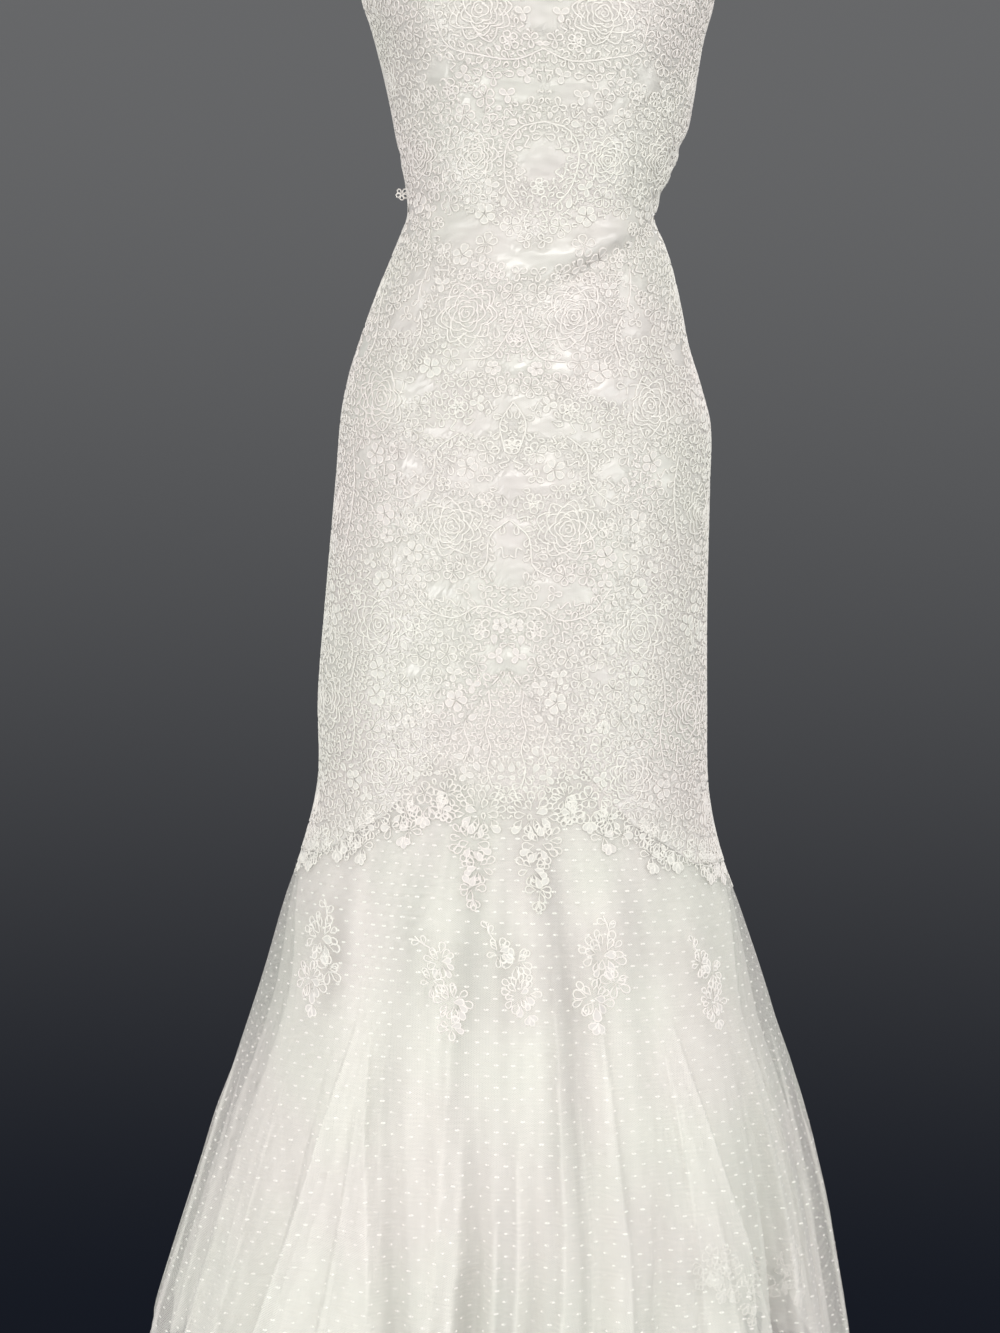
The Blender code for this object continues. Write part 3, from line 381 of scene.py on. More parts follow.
# Net with six-sided holes, for the ground of the lace and for tulle: three gratings a third of a turn apart
net_group, net_in, net_out = add_group("net", ["Threads"], Pitch=0.0012, Thread=0.5)
net_scale = calc(net_group, "DIVIDE", 2 * math.pi, net_in["Pitch"])
net_waves = []
for turn in np.radians((0, 120, 240)):
    way = (math.cos(turn), math.sin(turn), 0.0)
    dot = add_node(net_group, "ShaderNodeVectorMath", {0: net_in["Vector"], 1: way}, operation="DOT_PRODUCT")
    net_waves.append(calc(net_group, "COSINE", calc(net_group, "MULTIPLY", dot.outputs["Value"], net_scale)))
net_sum = calc(net_group, "ADD", calc(net_group, "ADD", *net_waves[:2]), net_waves[2])
THINNEST, THICKER, THREAD_EDGE = -1.5, 2.2, 0.7
net_edge = calc(net_group, "MULTIPLY_ADD", net_in["Thread"], THICKER, THINNEST)
net_low = calc(net_group, "ADD", net_edge, THREAD_EDGE)
net_group.links.new(ranged(net_group, net_sum, 1.0, 0.0, net_edge, net_low), net_out["Threads"])

# Uneven cloth: broad soft patches, and fine slubs along the threads
cloth_group, cloth_in, cloth_out = add_group("uneven_cloth", ["Patches", "Slubs"], Patch=30.0, Slub=300.0)
along_thread = vector_calc(cloth_group, "MULTIPLY", cloth_in["Vector"], (0.12, 1.0, 1.0))
cloth_group.links.new(noise(cloth_group, cloth_in["Vector"], cloth_in["Patch"]), cloth_out["Patches"])
cloth_group.links.new(noise(cloth_group, along_thread, cloth_in["Slub"]), cloth_out["Slubs"])

# Fine cord that wanders all over the ground between the motifs
vermicelli_group, fine_in, fine_out = add_group("vermicelli", ["Cords"], Scale=250.0, Width=0.06)
wander = noise(vermicelli_group, fine_in["Vector"], fine_in["Scale"], 1.0, 0.8)
off_line = calc(vermicelli_group, "ABSOLUTE", calc(vermicelli_group, "SUBTRACT", wander, 0.5))
fine_cords = ranged(vermicelli_group, off_line, 1.0, 0.0, 0.0, fine_in["Width"])
vermicelli_group.links.new(fine_cords, fine_out["Cords"])

# Broad changes of hue over the cloth, from a little pink to a little green
tint_group, tint_in, tint_out = add_group("broad_tint", ["Green"])
broad = noise(tint_group, tint_in["Vector"], 8.0, 1.0)
tint_group.links.new(ranged(tint_group, broad, 0.0, 1.0, 0.38, 0.62), tint_out["Green"])


def tinted(tree, vector, color):
    """A colour with the broad change of hue over it."""
    hue = blended(tree, use_group(tree, tint_group, vector)[0], PINK_TINT, GREEN_TINT)
    return vector_calc(tree, "MULTIPLY", color, hue)


def cut_map(tree):
    """The place on the cloth's flat map."""
    return result(tree, "ShaderNodeUVMap", uv_map="cut")


def mesh_mark(tree, name):
    """A value that the mesh carries at each point."""
    return add_node(tree, "ShaderNodeAttribute", attribute_name=name).outputs["Fac"]


def net_over_satin(name, roughness):
    """Satin with the lace's net ground and fine cord over it, all but in the bare patches."""
    gloss = {"sheen_weight": 0.12, "sheen_roughness": 0.4, "specular_ior_level": 1.0}
    material, tree, shader = add_material(name, SATIN, roughness, **gloss)
    cut, bare = cut_map(tree), mesh_mark(tree, "bare")
    net = use_group(tree, net_group, cut, Pitch=0.0016, Thread=0.45)[0]
    patches = use_group(tree, cloth_group, cut, Patch=55.0, Slub=700.0)[0]
    covered = calc(tree, "SUBTRACT", 1.0, bare)
    cords = calc(tree, "MULTIPLY", use_group(tree, vermicelli_group, cut)[0], covered)
    satin = scaled(tree, SATIN, ranged(tree, patches, 0.94, 1.04, 0.3, 0.7))
    netted = blended(tree, calc(tree, "MULTIPLY", net, NET_SHARE), satin, THREAD)
    corded = blended(tree, calc(tree, "MULTIPLY", cords, CORD_SHARE), netted, THREAD)
    color = blended(tree, mesh_mark(tree, "laced"), BELOW_LACE, corded)
    rough = ranged(tree, covered, roughness, roughness + 0.04)
    tree.links.new(rough, shader.inputs["Roughness"])
    # Slanting puckers, deepest in the bare patches
    slanted = {"Vector": cut, "Rotation": (0, 0, -0.55), "Scale": (0.5, 1.0, 1.0)}
    ruck = noise(tree, result(tree, "ShaderNodeMapping", slanted), 62.0, 1.0)
    rucked = calc(tree, "MULTIPLY", ruck, ranged(tree, bare, 0.30, 1.0))
    lines = bump(tree, cords, 1.0, 0.0005, bump(tree, net, 0.2, 0.0003))
    feed(tree, shader, tinted(tree, cut, color), bump(tree, rucked, 1.0, 0.0055, lines))
    return material


body_satin = net_over_satin("satin_under_net", 0.29)


def seam_height(angle):
    return np.interp(folded(angle), *SKIRT_SEAM.T)


def neckline_height(angle):
    return smooth_curve(*NECKLINE.T, folded(angle))


def add_panel(panel, middle):
    columns = np.arange(panel.start, panel.end + PANEL_COLUMN / 2, PANEL_COLUMN)
    share = np.linspace(0, 1, PANEL_ROWS + 1)[:, None]
    low, high = seam_height(columns), neckline_height(columns)
    height = low + (high - low) * share
    angle = np.broadcast_to(columns, height.shape)
    at_seam = np.isin(np.arange(len(columns)), (0, len(columns) - 1))
    points = body_points(angle, height, np.where(at_seam, SEAM_DIP, 0.0))
    flat = np.stack([around(swung(angle, height), height, middle), height], -1)
    return add_cloth(panel.name + "_cloth", points, {"cut": flat}, body_satin)


panel_cloths = {panel.name: add_panel(panel, 0.0) for panel in FRONT_PANELS}
panel_cloths |= {panel.name: add_panel(panel, 180.0) for panel in BACK_PANELS}


# Lace, drawn flat
#
# The lace is net with cord sewn on it by machine, in roses, flowers, leaves and curls that mirror about the
# middle line, with bare glossy ground left between them. Its lower edge is cut away along the motifs that hang
# over the skirt. It is drawn flat here, once for the front and once for the back, and laid on each cloth below.

STITCH, STITCH_LENGTH, STITCH_TURN = 0.0030, 0.011, math.radians(51)
CORD_RADIUS, LACE_LIFT = 0.00092, 0.00050
PETAL_CROWN = 0.0006
FILLED_SHARE = 0.30

Motif = namedtuple("Motif", "cords petals")


def unit(degrees):
    return np.exp(1j * np.radians(degrees))


def loop(length, width, foot=0j, turn=0.0):
    """An oval loop of cord, from its foot and back: one petal or leaf."""
    at = np.linspace(0, 2 * np.pi, 33)
    oval = length * (1 - np.cos(at)) / 2 + 0.65j * width * np.sin(at) * np.sin(at / 2)
    return foot + oval * unit(turn)


def flower(radius, turn=0.0, filled=False):
    """Five oval loops about a small open heart, each a little longer or shorter than the next."""
    heart = radius * 0.16
    chance = random.Random(round(1e5 * radius + turn))
    petals = []
    for k in range(5):
        way = turn + 72 * k + chance.uniform(-7, 7)
        length = (radius - heart) * chance.uniform(0.82, 1.04)
        petals.append(loop(length, radius * chance.uniform(0.58, 0.72), heart * unit(way), way))
    return Motif(petals, petals if filled else [])


def petal_edge(radius, spread, turn):
    """The edge of one rose petal from above: a wide arc whose ends tuck in."""
    at = np.linspace(-1, 1, 13)
    return radius * (0.98 - 0.27 * at**2 + 0.025 * np.cos(6 * at)) * unit(turn + spread * at / 2)


def rose(radius, turn=0.0):
    """A full rose: rounds of overlapping petals, none quite like the next, about a curled heart."""
    chance = random.Random(round(1e5 * radius + turn))
    cords = [radius * np.linspace(0.03, 0.17, 16) * unit(turn + np.linspace(0, 400, 16))]
    for share, count in ((1.0, 9), (0.80, 7), (0.61, 6), (0.43, 5), (0.27, 3)):
        for k in range(count):
            way = turn + 360 * (k + chance.uniform(-0.15, 0.15)) / count + 90 * share
            size = radius * share * chance.uniform(0.92, 1.03)
            cords.append(petal_edge(size, 360 / count * chance.uniform(1.1, 1.35), way))
    return Motif(cords, [])


def squiggle(room, turn):
    """A short S of cord that fills a gap."""
    at = np.linspace(-1, 1, 15)
    return room * (at + 0.62j * np.sin(np.pi * at)) * unit(turn)


def through(points):
    """A smooth line through a few points."""
    points = np.asarray(points, dtype=complex)
    at = np.arange(len(points), dtype=float)
    fine = np.linspace(0, len(points) - 1, 12 * len(points))
    return smooth_curve(at, points.real, fine) + 1j * smooth_curve(at, points.imag, fine)


def run_of(line):
    """Distance run along a line to each of its points."""
    return np.concatenate([[0], np.cumsum(np.abs(np.diff(line)))])


def garland(points, leaf, gap):
    """A long stem with leaves along it, by turns left and right."""
    stem = through(points)
    run = run_of(stem)
    leaves = []
    for k, place in enumerate(np.arange(gap, run[-1] - gap / 2, gap)):
        spot = int(np.searchsorted(run, place))
        way = math.degrees(np.angle(stem[spot] - stem[spot - 1]))
        leaves.append(loop(leaf, leaf * 0.56, stem[spot], way + (52 if k % 2 else -52)))
    return Motif([stem, *leaves], [])


def fan(foot, turn, length, spread=42, filled=True):
    """Three leaves that spread from one foot."""
    leaves = [loop(length * (1 - 0.12 * abs(k)), length * 0.54, foot, turn + spread * k) for k in (-1, 0, 1)]
    return Motif(leaves, leaves if filled else [])


def cluster(lobes, leaf, seed):
    """Leaves of cord that overlap and point outwards from the middle of each round lobe."""
    chance = random.Random(seed)
    leaves = []
    for x, y, radius, count in lobes:
        for k in range(count):
            reach = max(radius - 0.8 * leaf, 0.0) * math.sqrt((k + 0.3) / count)
            length = leaf * chance.uniform(0.8, 1.15)
            way = 137.5 * k + chance.uniform(-25, 25)
            foot = complex(x, y) + reach * unit(137.5 * k)
            leaves.append(loop(length, length * chance.uniform(0.52, 0.68), foot, way))
    return Motif(leaves, leaves[::5])


def joined(*motifs):
    return Motif(sum([m.cords for m in motifs], []), sum([m.petals for m in motifs], []))


def redrawn(motif, change):
    """A motif with the same change made to each of its lines."""
    return Motif([change(line) for line in motif.cords], [change(line) for line in motif.petals])


def moved(motif, at, turn=0.0, size=1.0):
    return redrawn(motif, lambda line: at + line * size * unit(turn))


def mirrored(motif):
    return redrawn(motif, lambda line: -np.conj(line)[::-1])


def is_closed(line):
    return abs(line[0] - line[-1]) < 1e-6


def in_steps(line, run, steps):
    """A line again in even steps of its run, enough of them to keep its form."""
    at = np.linspace(0, run[-1], max(7 if is_closed(line) else 3, round(steps)) + 1)
    return np.interp(at, run, line.real) + 1j * np.interp(at, run, line.imag)


def evenly(line):
    """A line again in even stitches."""
    run = run_of(line)
    return in_steps(line, run, run[-1] / STITCH)


def in_stitches(line):
    """A line again in as few stitches as its turns and its length need."""
    steps = np.diff(line)
    steps, line = steps[np.abs(steps) > 1e-9], line[np.concatenate([[True], np.abs(steps) > 1e-9])]
    turns = np.abs(np.angle(steps[1:] / steps[:-1]))
    need = np.concatenate([[0], np.cumsum(np.abs(steps) / STITCH_LENGTH)])
    need[1:-1] += np.cumsum(turns) / STITCH_TURN
    need[-1] += turns.sum() / STITCH_TURN
    return in_steps(line, need, need[-1])


class Gaps:
    """How far each spot of the flat lace is from the nearest cord, on a grid of one millimetre."""

    CELL = 0.001
    REACH = 16

    def __init__(self, low, high):
        self.low = low
        size = np.ceil((np.array([high.real, high.imag]) - [low.real, low.imag]) / self.CELL).astype(int)
        self.away = np.full(size, self.REACH * self.CELL)
        near = np.arange(-self.REACH, self.REACH + 1) * self.CELL
        self.disc = np.hypot(near[:, None], near[None, :])

    def note(self, motif):
        """A motif and its mirror image take up room."""
        reach = self.REACH
        for at in np.concatenate([evenly(line) for m in (motif, mirrored(motif)) for line in m.cords]):
            i, j = self.spot(at)
            left, right = max(i - reach, 0), min(i + reach + 1, self.away.shape[0])
            low, high = max(j - reach, 0), min(j + reach + 1, self.away.shape[1])
            if left < right and low < high:
                disc = self.disc[left - i + reach : right - i + reach, low - j + reach : high - j + reach]
                here = self.away[left:right, low:high]
                np.minimum(here, disc, out=here)

    def spot(self, at):
        return int((at.real - self.low.real) // self.CELL), int((at.imag - self.low.imag) // self.CELL)

    def room(self, at):
        i, j = self.spot(at)
        inside = 0 <= i < self.away.shape[0] and 0 <= j < self.away.shape[1]
        return self.away[i, j] if inside else 0.0


def filler(kind, room, turn, filled):
    """The small motif that fills a round gap."""
    if kind == "flower":
        return flower(room, turn, filled)
    if kind == "leaves":
        ways = (turn, turn + 120, turn + 240)
        leaves = [loop(room * 1.1, room * 0.66, -0.1 * room * unit(way), way) for way in ways]
        return Motif(leaves, leaves if filled else [])
    if kind == "loop":
        leaf = loop(2 * room, room * 1.15, -room * unit(turn), turn)
        return Motif([leaf], [leaf] if filled else [])
    return Motif([squiggle(room, turn)], [])


def fill_gaps(motifs, gaps, low, high, allowed, seed):
    """Small motifs wherever the large ones leave room, from the widest gaps to the narrowest."""
    chance = random.Random(seed)
    for kind, room, clear in BODY_PASSES:
        step = room * 0.5
        across, up = np.meshgrid(np.arange(low.real, high.real, step), np.arange(low.imag, high.imag, step))
        spots = (across + 1j * up).ravel().tolist()
        chance.shuffle(spots)
        for at in spots:
            at += complex(chance.random(), chance.random()) * step
            turn = chance.uniform(0, 360)
            filled = chance.random() < FILLED_SHARE
            if gaps.room(at) > room + clear and allowed(at, room):
                motifs.append(moved(filler(kind, room, turn, filled), at))
                gaps.note(motifs[-1])


# The wearer's left half of the large motifs, in metres from the middle line and from the waist
Round = namedtuple("Round", "x y radius turn")
ROSES = [Round(*row) for row in (
    (0.05, -0.096, 0.031, 10), (0.054, 0.176, 0.029, 40), (0.054, -0.292, 0.03, 70), (0.062, 0.048, 0.022, 5),
    (0.126, 0.052, 0.024, 20), (0.132, -0.176, 0.03, 55), (0.126, -0.386, 0.029, 15),
    (0.122, 0.208, 0.024, 70), (0.186, -0.07, 0.024, 30), (0.206, -0.276, 0.028, 5),
    (0.194, -0.462, 0.028, 50), (0.178, 0.122, 0.022, 60), (0.046, -0.47, 0.025, 45),
    (0.236, -0.56, 0.024, 0), (0.252, -0.38, 0.02, 80), (0.246, -0.18, 0.02, 15), (0.174, 0.212, 0.02, 15),
    (0.12, -0.52, 0.024, 33),
)]
FLOWERS = [Round(*row) for row in (
    (0.012, 0.204, 0.0105, 10), (0.088, 0.108, 0.011, 40), (0.0, 0.022, 0.009, 90), (0.104, 0.02, 0.011, 30),
    (0.03, -0.058, 0.0105, 50), (0.086, -0.04, 0.01, 60), (0.108, -0.14, 0.012, 12),
    (0.052, -0.182, 0.011, 35), (0.092, -0.29, 0.011, 5), (0.022, -0.268, 0.01, 55),
    (0.088, -0.388, 0.012, 25), (0.026, -0.386, 0.011, 65), (0.078, -0.462, 0.0105, 15),
    (0.154, -0.36, 0.0115, 45), (0.0, -0.118, 0.0085, 90), (0.0, -0.216, 0.009, 90), (0.03, 0.15, 0.009, 0),
    (0.126, 0.1, 0.01, 15),
)]
CENTRE_FLOWERS = [Round(*row) for row in (
    (0, -0.447, 0.0072, 90), (0, -0.489, 0.0085, 90), (0, -0.538, 0.009, 90),
)]
GARLANDS = [
    [0.000 + 0.236j, 0.030 + 0.222j, 0.062 + 0.218j, 0.090 + 0.226j, 0.105 + 0.248j],
    [0.000 + 0.144j, 0.026 + 0.134j, 0.060 + 0.138j, 0.084 + 0.146j, 0.094 + 0.176j],
    [0.000 + 0.080j, 0.022 + 0.074j, 0.034 + 0.054j, 0.030 + 0.022j, 0.016 + 0.004j],
    [0.000 - 0.092j, 0.008 - 0.112j, 0.022 - 0.134j, 0.046 - 0.138j],
    [0.098 - 0.050j, 0.102 - 0.080j, 0.092 - 0.110j, 0.100 - 0.134j],
    [0.000 - 0.176j, 0.012 - 0.196j, 0.006 - 0.222j],
    [0.050 - 0.206j, 0.070 - 0.222j, 0.074 - 0.248j, 0.100 - 0.268j, 0.126 - 0.260j],
    [0.000 - 0.284j, 0.018 - 0.300j, 0.022 - 0.326j, 0.038 - 0.336j],
    [0.000 - 0.372j, 0.026 - 0.364j, 0.050 - 0.376j, 0.078 - 0.368j, 0.096 - 0.346j],
    [0.158 - 0.050j, 0.154 - 0.088j, 0.148 - 0.122j, 0.168 - 0.148j, 0.188 - 0.150j],
    [0.166 - 0.222j, 0.162 - 0.258j, 0.170 - 0.304j, 0.186 - 0.334j, 0.212 - 0.336j],
    [0.152 - 0.420j, 0.158 - 0.450j, 0.152 - 0.484j, 0.158 - 0.516j],
]
# Where the ground is left bare of motifs, and where the fine cord is left out and the satin gleams between them
Patch = namedtuple("Patch", "x y half_width squash")
BARE = [Patch(*row) for row in (
    (0.0, 0.176, 0.015, 1.0), (0.018, 0.108, 0.014, 0.8), (0.096, 0.118, 0.012, 1.1),
    (0.006, 0.044, 0.014, 1.2), (0.068, -0.018, 0.026, 0.45), (0.018, -0.043, 0.026, 0.45),
    (0.0, -0.142, 0.01, 0.8), (0.086, -0.162, 0.013, 0.8), (0.028, -0.198, 0.015, 0.7),
    (0.0, -0.25, 0.014, 1.1), (0.096, -0.236, 0.013, 0.8), (0.062, -0.35, 0.014, 0.7),
    (0.006, -0.33, 0.012, 1.0), (0.172, -0.126, 0.01, 1.1), (0.14, -0.018, 0.012, 0.7),
)]
SLEEK = [Patch(*row) for row in (
    (0.0, -0.05, 0.022, 0.6), (0.042, -0.029, 0.03, 0.5), (0.088, -0.008, 0.022, 0.6),
    (0.104, -0.07, 0.014, 1.2), (0.112, -0.1, 0.014, 1.2), (0.05, -0.138, 0.02, 0.6),
    (0.112, -0.166, 0.014, 1.2), (0.066, -0.2, 0.02, 0.6), (0.01, -0.178, 0.014, 0.7),
    (0.034, -0.242, 0.02, 0.9), (0.0, -0.3, 0.02, 0.8), (0.086, -0.262, 0.012, 1.0),
    (0.112, -0.322, 0.014, 0.7), (0.036, -0.354, 0.02, 0.7), (0.086, -0.424, 0.013, 0.8),
    (0.01, -0.412, 0.014, 0.9), (0.15, -0.24, 0.014, 1.2), (0.04, 0.108, 0.018, 0.7),
    (0.072, 0.09, 0.014, 0.8), (0.016, 0.19, 0.014, 0.8), (0.156, 0.01, 0.014, 0.8),
)]

# Where the lace hangs over the skirt: the middle of each motif, by angle and height
Placed = namedtuple("Placed", "name angle height turn scale")
FRONT_EDGE = [Placed(*row) for row in (
    ("pendant", 8.1, -0.592, 0, 1.18), ("tuft", 17.0, -0.541, -8, 1.05), ("bouquet", 24.0, -0.54, 0, 1.05),
    ("low_tuft", 31.0, -0.564, 6, 1.1), ("tuft", 39.5, -0.566, 20, 1.0),
    ("low_tuft", 47.0, -0.586, -10, 1.05), ("bouquet", 55.0, -0.58, -5, 1.05),
    ("tuft", 63.5, -0.596, 25, 1.1), ("low_tuft", 72.5, -0.6, 0, 1.05), ("bouquet", 82.0, -0.598, 0, 1.05),
)]
BACK_EDGE = [Placed(*row) for row in (
    ("bouquet", 98.0, -0.612, 0, 1.15), ("tuft", 109.0, -0.614, 0, 1.15), ("bouquet", 120.0, -0.612, 5, 1.25),
    ("low_tuft", 131.0, -0.606, -5, 1.1), ("bouquet", 142.5, -0.595, 0, 1.2),
    ("tuft", 154.0, -0.576, -5, 1.2), ("rosette", 168.0, -0.56, 0, 1.05), ("pendant", 169.0, -0.604, 0, 0.95),
)]
# Leafy vines that run down from the point of the V
FRONT_VINES = [
    [0.007 - 0.429j, 0.016 - 0.442j, 0.014 - 0.460j, 0.019 - 0.478j, 0.014 - 0.496j, 0.018 - 0.514j,
     0.013 - 0.532j],
    [0.034 - 0.462j, 0.039 - 0.478j, 0.034 - 0.494j, 0.040 - 0.510j],
]
BACK_VINES = [[0.010 - 0.528j, 0.016 - 0.542j, 0.012 - 0.558j, 0.017 - 0.574j, 0.013 - 0.590j]]
# The lowest that the small motifs reach, by distance from the middle line
FRONT_LOW = np.array([
    (0.0, -0.562), (0.026, -0.566), (0.046, -0.545), (0.066, -0.532), (0.09, -0.572), (0.125, -0.585),
    (0.16, -0.592), (0.2, -0.602), (0.3, -0.612),
])
BACK_LOW = np.array([
    (0.0, -0.56), (0.05, -0.566), (0.1, -0.602), (0.15, -0.618), (0.3, -0.62),
])
DRAWN = {
    "rosette": joined(flower(0.0125, 90), flower(0.0062, 54), fan(0.010 - 0.008j, -50, 0.0090, 40, False)),
    "bouquet": joined(
        flower(0.0105, 90),
        fan(-0.012 - 0.003j, 205, 0.0100, 44, False),
        fan(0.012 - 0.002j, -25, 0.0100, 44, False),
        fan(-0.004 - 0.012j, -116, 0.0115, 40, False),
        fan(0.006 - 0.012j, -58, 0.0110, 42, False),
        fan(0.001 - 0.021j, -88, 0.0100, 40),
        moved(flower(0.0066, 30), 0.017 - 0.018j),
        moved(flower(0.0060, 60), -0.017 - 0.018j),
    ),
    "tuft": joined(
        cluster([(0.000, 0.002, 0.013, 11), (0.008, -0.011, 0.009, 5)], 0.0086, 3),
        fan(0.002 - 0.014j, -95, 0.0100, 40, False),
    ),
    "low_tuft": joined(
        cluster([(-0.003, 0.004, 0.013, 10), (-0.009, -0.009, 0.009, 5), (0.008, -0.010, 0.009, 5)], 0.0084, 8),
        fan(-0.004 - 0.016j, -105, 0.0096, 40),
    ),
    "pendant": joined(
        cluster([(-0.002, 0.032, 0.022, 23), (0.004, 0.008, 0.018, 17)], 0.0084, 6),
        cluster([(-0.002, -0.011, 0.014, 12), (0.003, -0.026, 0.010, 6)], 0.0080, 7),
        fan(0.002 - 0.035j, -92, 0.0084, 36, False),
    ),
    "spray": joined(
        cluster([(-0.002, 0.018, 0.018, 19), (0.011, 0.001, 0.010, 6), (-0.004, -0.013, 0.015, 14)], 0.0086, 5),
        garland([0.001 + 0.031j, -0.002 + 0.038j, -0.007 + 0.044j], 0.0076, 0.0050),
        fan(0.003 - 0.029j, -92, 0.0084, 40),
    ),
    "long_spray": joined(
        cluster([(0.004, 0.022, 0.014, 12), (-0.008, 0.009, 0.012, 8), (0.004, -0.010, 0.016, 16)], 0.0084, 9),
        cluster([(-0.003, -0.028, 0.010, 6)], 0.0078, 10),
        garland([-0.002 + 0.034j, -0.008 + 0.040j, -0.012 + 0.046j], 0.0074, 0.0050),
    ),
    "curved_spray": joined(
        cluster([(-0.008, 0.024, 0.012, 9), (0.005, 0.014, 0.013, 11), (0.000, -0.011, 0.017, 17)], 0.0085, 12),
        garland([-0.010 + 0.034j, -0.013 + 0.041j, -0.011 + 0.047j], 0.0074, 0.0050),
        fan(0.004 - 0.029j, -80, 0.0086, 40),
    ),
}
# Kind, size and clear room of the small motifs
BODY_PASSES = [
    ("flower", 0.0108, 0.0018), ("leaves", 0.0076, 0.0016), ("flower", 0.0072, 0.0016),
    ("squiggle", 0.0062, 0.0014), ("loop", 0.0048, 0.0013), ("squiggle", 0.0042, 0.0012),
    ("loop", 0.0032, 0.0011), ("squiggle", 0.0026, 0.0010),
]
SEAM_STEP, SEAM_ROOM, SEAM_CLEAR, SMALL_ROOM = 5, 0.0068, 0.0012, 0.005
# How far below the V a large motif may reach, its clear room, and how high it has to lie to need none
LARGE_DROP, LARGE_CLEAR, LARGE_HIGH = 0.016, 0.0016, -0.02


def laid_place(angle, height, middle):
    """Where an angle and a height lie on the flat lace."""
    return complex(float(around(np.array([float(angle)]), np.array([height]), middle)[0]), height)


def out_of_patch(at, row):
    """Distance from the middle of a bare patch, where 1 is its uneven edge."""
    away = (at.real - row.x) + 1j * (at.imag - row.y) / row.squash
    way = np.angle(away)
    uneven = 1 + 0.16 * np.sin(3 * way + 170 * row.y) + 0.10 * np.sin(5 * way + 90 * row.x)
    return np.abs(away) / (row.half_width * uneven)


def draw_lace(edge_rows, vines, low_line, middle, seed):
    """Both halves of the flat lace of the front or the back, edge and all."""
    seam_angles = np.linspace(middle, middle + 90, 46)
    seam_rows = seam_height(seam_angles)
    seam_across = around(seam_angles, seam_rows, middle)

    def below_seam(at):
        return np.interp(abs(at.real), seam_across, seam_rows) - at.imag

    gaps = Gaps(complex(0, -0.72), complex(0.30, 0.28))

    def sew(motifs, kept):
        for motif in motifs:
            kept.append(motif)
            gaps.note(motif)

    centre, half = [], []
    sew([moved(flower(row.radius, row.turn), complex(row.x, row.y)) for row in CENTRE_FLOWERS], centre)
    edge = []
    for row in edge_rows:
        angle = row.angle if middle == 0 else 360 - row.angle
        edge.append(moved(DRAWN[row.name], laid_place(angle, row.height, middle), row.turn, row.scale))
    sew(edge + [garland(points, 0.0094, 0.0080) for points in vines], half)
    # Small motifs that straddle the V seam
    chance = random.Random(seed)
    for spot in evenly(seam_across + 1j * seam_rows)[1::SEAM_STEP]:
        small = filler(chance.choice(("leaves", "flower", "leaves")), SEAM_ROOM, chance.uniform(0, 360), False)
        small = moved(small, spot + 1j * chance.uniform(-0.002, 0.002))
        if min(gaps.room(at) for at in np.concatenate(small.cords)) > SEAM_CLEAR:
            sew([small], half)

    large = [moved(rose(row.radius, row.turn), complex(row.x, row.y)) for row in ROSES]
    for row in FLOWERS:
        inner = flower(row.radius * 0.52, row.turn + 36)
        large.append(moved(joined(flower(row.radius, row.turn), inner), complex(row.x, row.y)))
    large += [garland(points, 0.0088, 0.0078) for points in GARLANDS]
    placed = []
    for motif in large:
        line = np.concatenate(motif.cords)
        drop = max(below_seam(at) for at in line[::5])
        clear = min(gaps.room(at) for at in line[::5])
        if drop < LARGE_DROP and (clear > LARGE_CLEAR or drop < LARGE_HIGH):
            placed.append(motif)
    on_middle = [bool(abs(np.concatenate(motif.cords).real.mean()) < 0.001) for motif in placed]
    sew([motif for motif, is_on in zip(placed, on_middle) if is_on], centre)
    sew([motif for motif, is_on in zip(placed, on_middle) if not is_on], half)

    def allowed(at, room):
        clear = BARE + SLEEK if room < SMALL_ROOM else BARE
        if at.real < room or any(out_of_patch(at, row) < 1 + 0.6 * room / row.half_width for row in clear):
            return False
        return below_seam(at) < 0.004 or at.imag > np.interp(at.real, *low_line.T) + room

    fill_gaps(half, gaps, complex(0, -0.70), complex(0.298, 0.278), allowed, seed)
    return half + centre, [mirrored(motif) for motif in half], below_seam


FRONT_LACE = draw_lace(FRONT_EDGE, FRONT_VINES, FRONT_LOW, 0.0, 21)
BACK_LACE = draw_lace(BACK_EDGE, BACK_VINES, BACK_LOW, 180.0, 22)


def add_drawing(name, motifs, kept=lambda at: True):
    """Flat lace: the cords as bare edges, and the filled petals as faces with a raised middle."""
    points, edges, faces, petal = [], [], [], []
    for motif in motifs:
        for line in map(in_stitches, motif.cords):
            closed = is_closed(line)
            line = line[:-1] if closed else line
            keep = [kept(at) for at in line]
            first, count = len(points), len(line)
            points += [(at.real, at.imag, 0.0) for at in line]
            petal += [False] * count
            pairs = [(k, (k + 1) % count) for k in range(count if closed else count - 1)]
            edges += [(first + a, first + b) for a, b in pairs if keep[a] and keep[b]]
        for line in motif.petals:
            line = evenly(line)[:-1]
            if not all(kept(at) for at in line):
                continue
            area = np.sum(line.real * np.roll(line.imag, -1) - np.roll(line.real, -1) * line.imag)
            line = line if area > 0 else line[::-1]
            first, count = len(points), len(line)
            middle = line.mean()
            points += [(at.real, at.imag, 0.0) for at in line] + [(middle.real, middle.imag, PETAL_CROWN)]
            faces += [(first + k, first + (k + 1) % count, first + count) for k in range(count)]
            petal += [True] * (count + 1)
    piece = add_piece(name, [(x + MAP_MIDDLE[0], y + MAP_MIDDLE[1], z) for x, y, z in points], edges, faces)
    piece.data.attributes.new("petal", "BOOLEAN", "POINT").data.foreach_set("value", petal)
    return piece


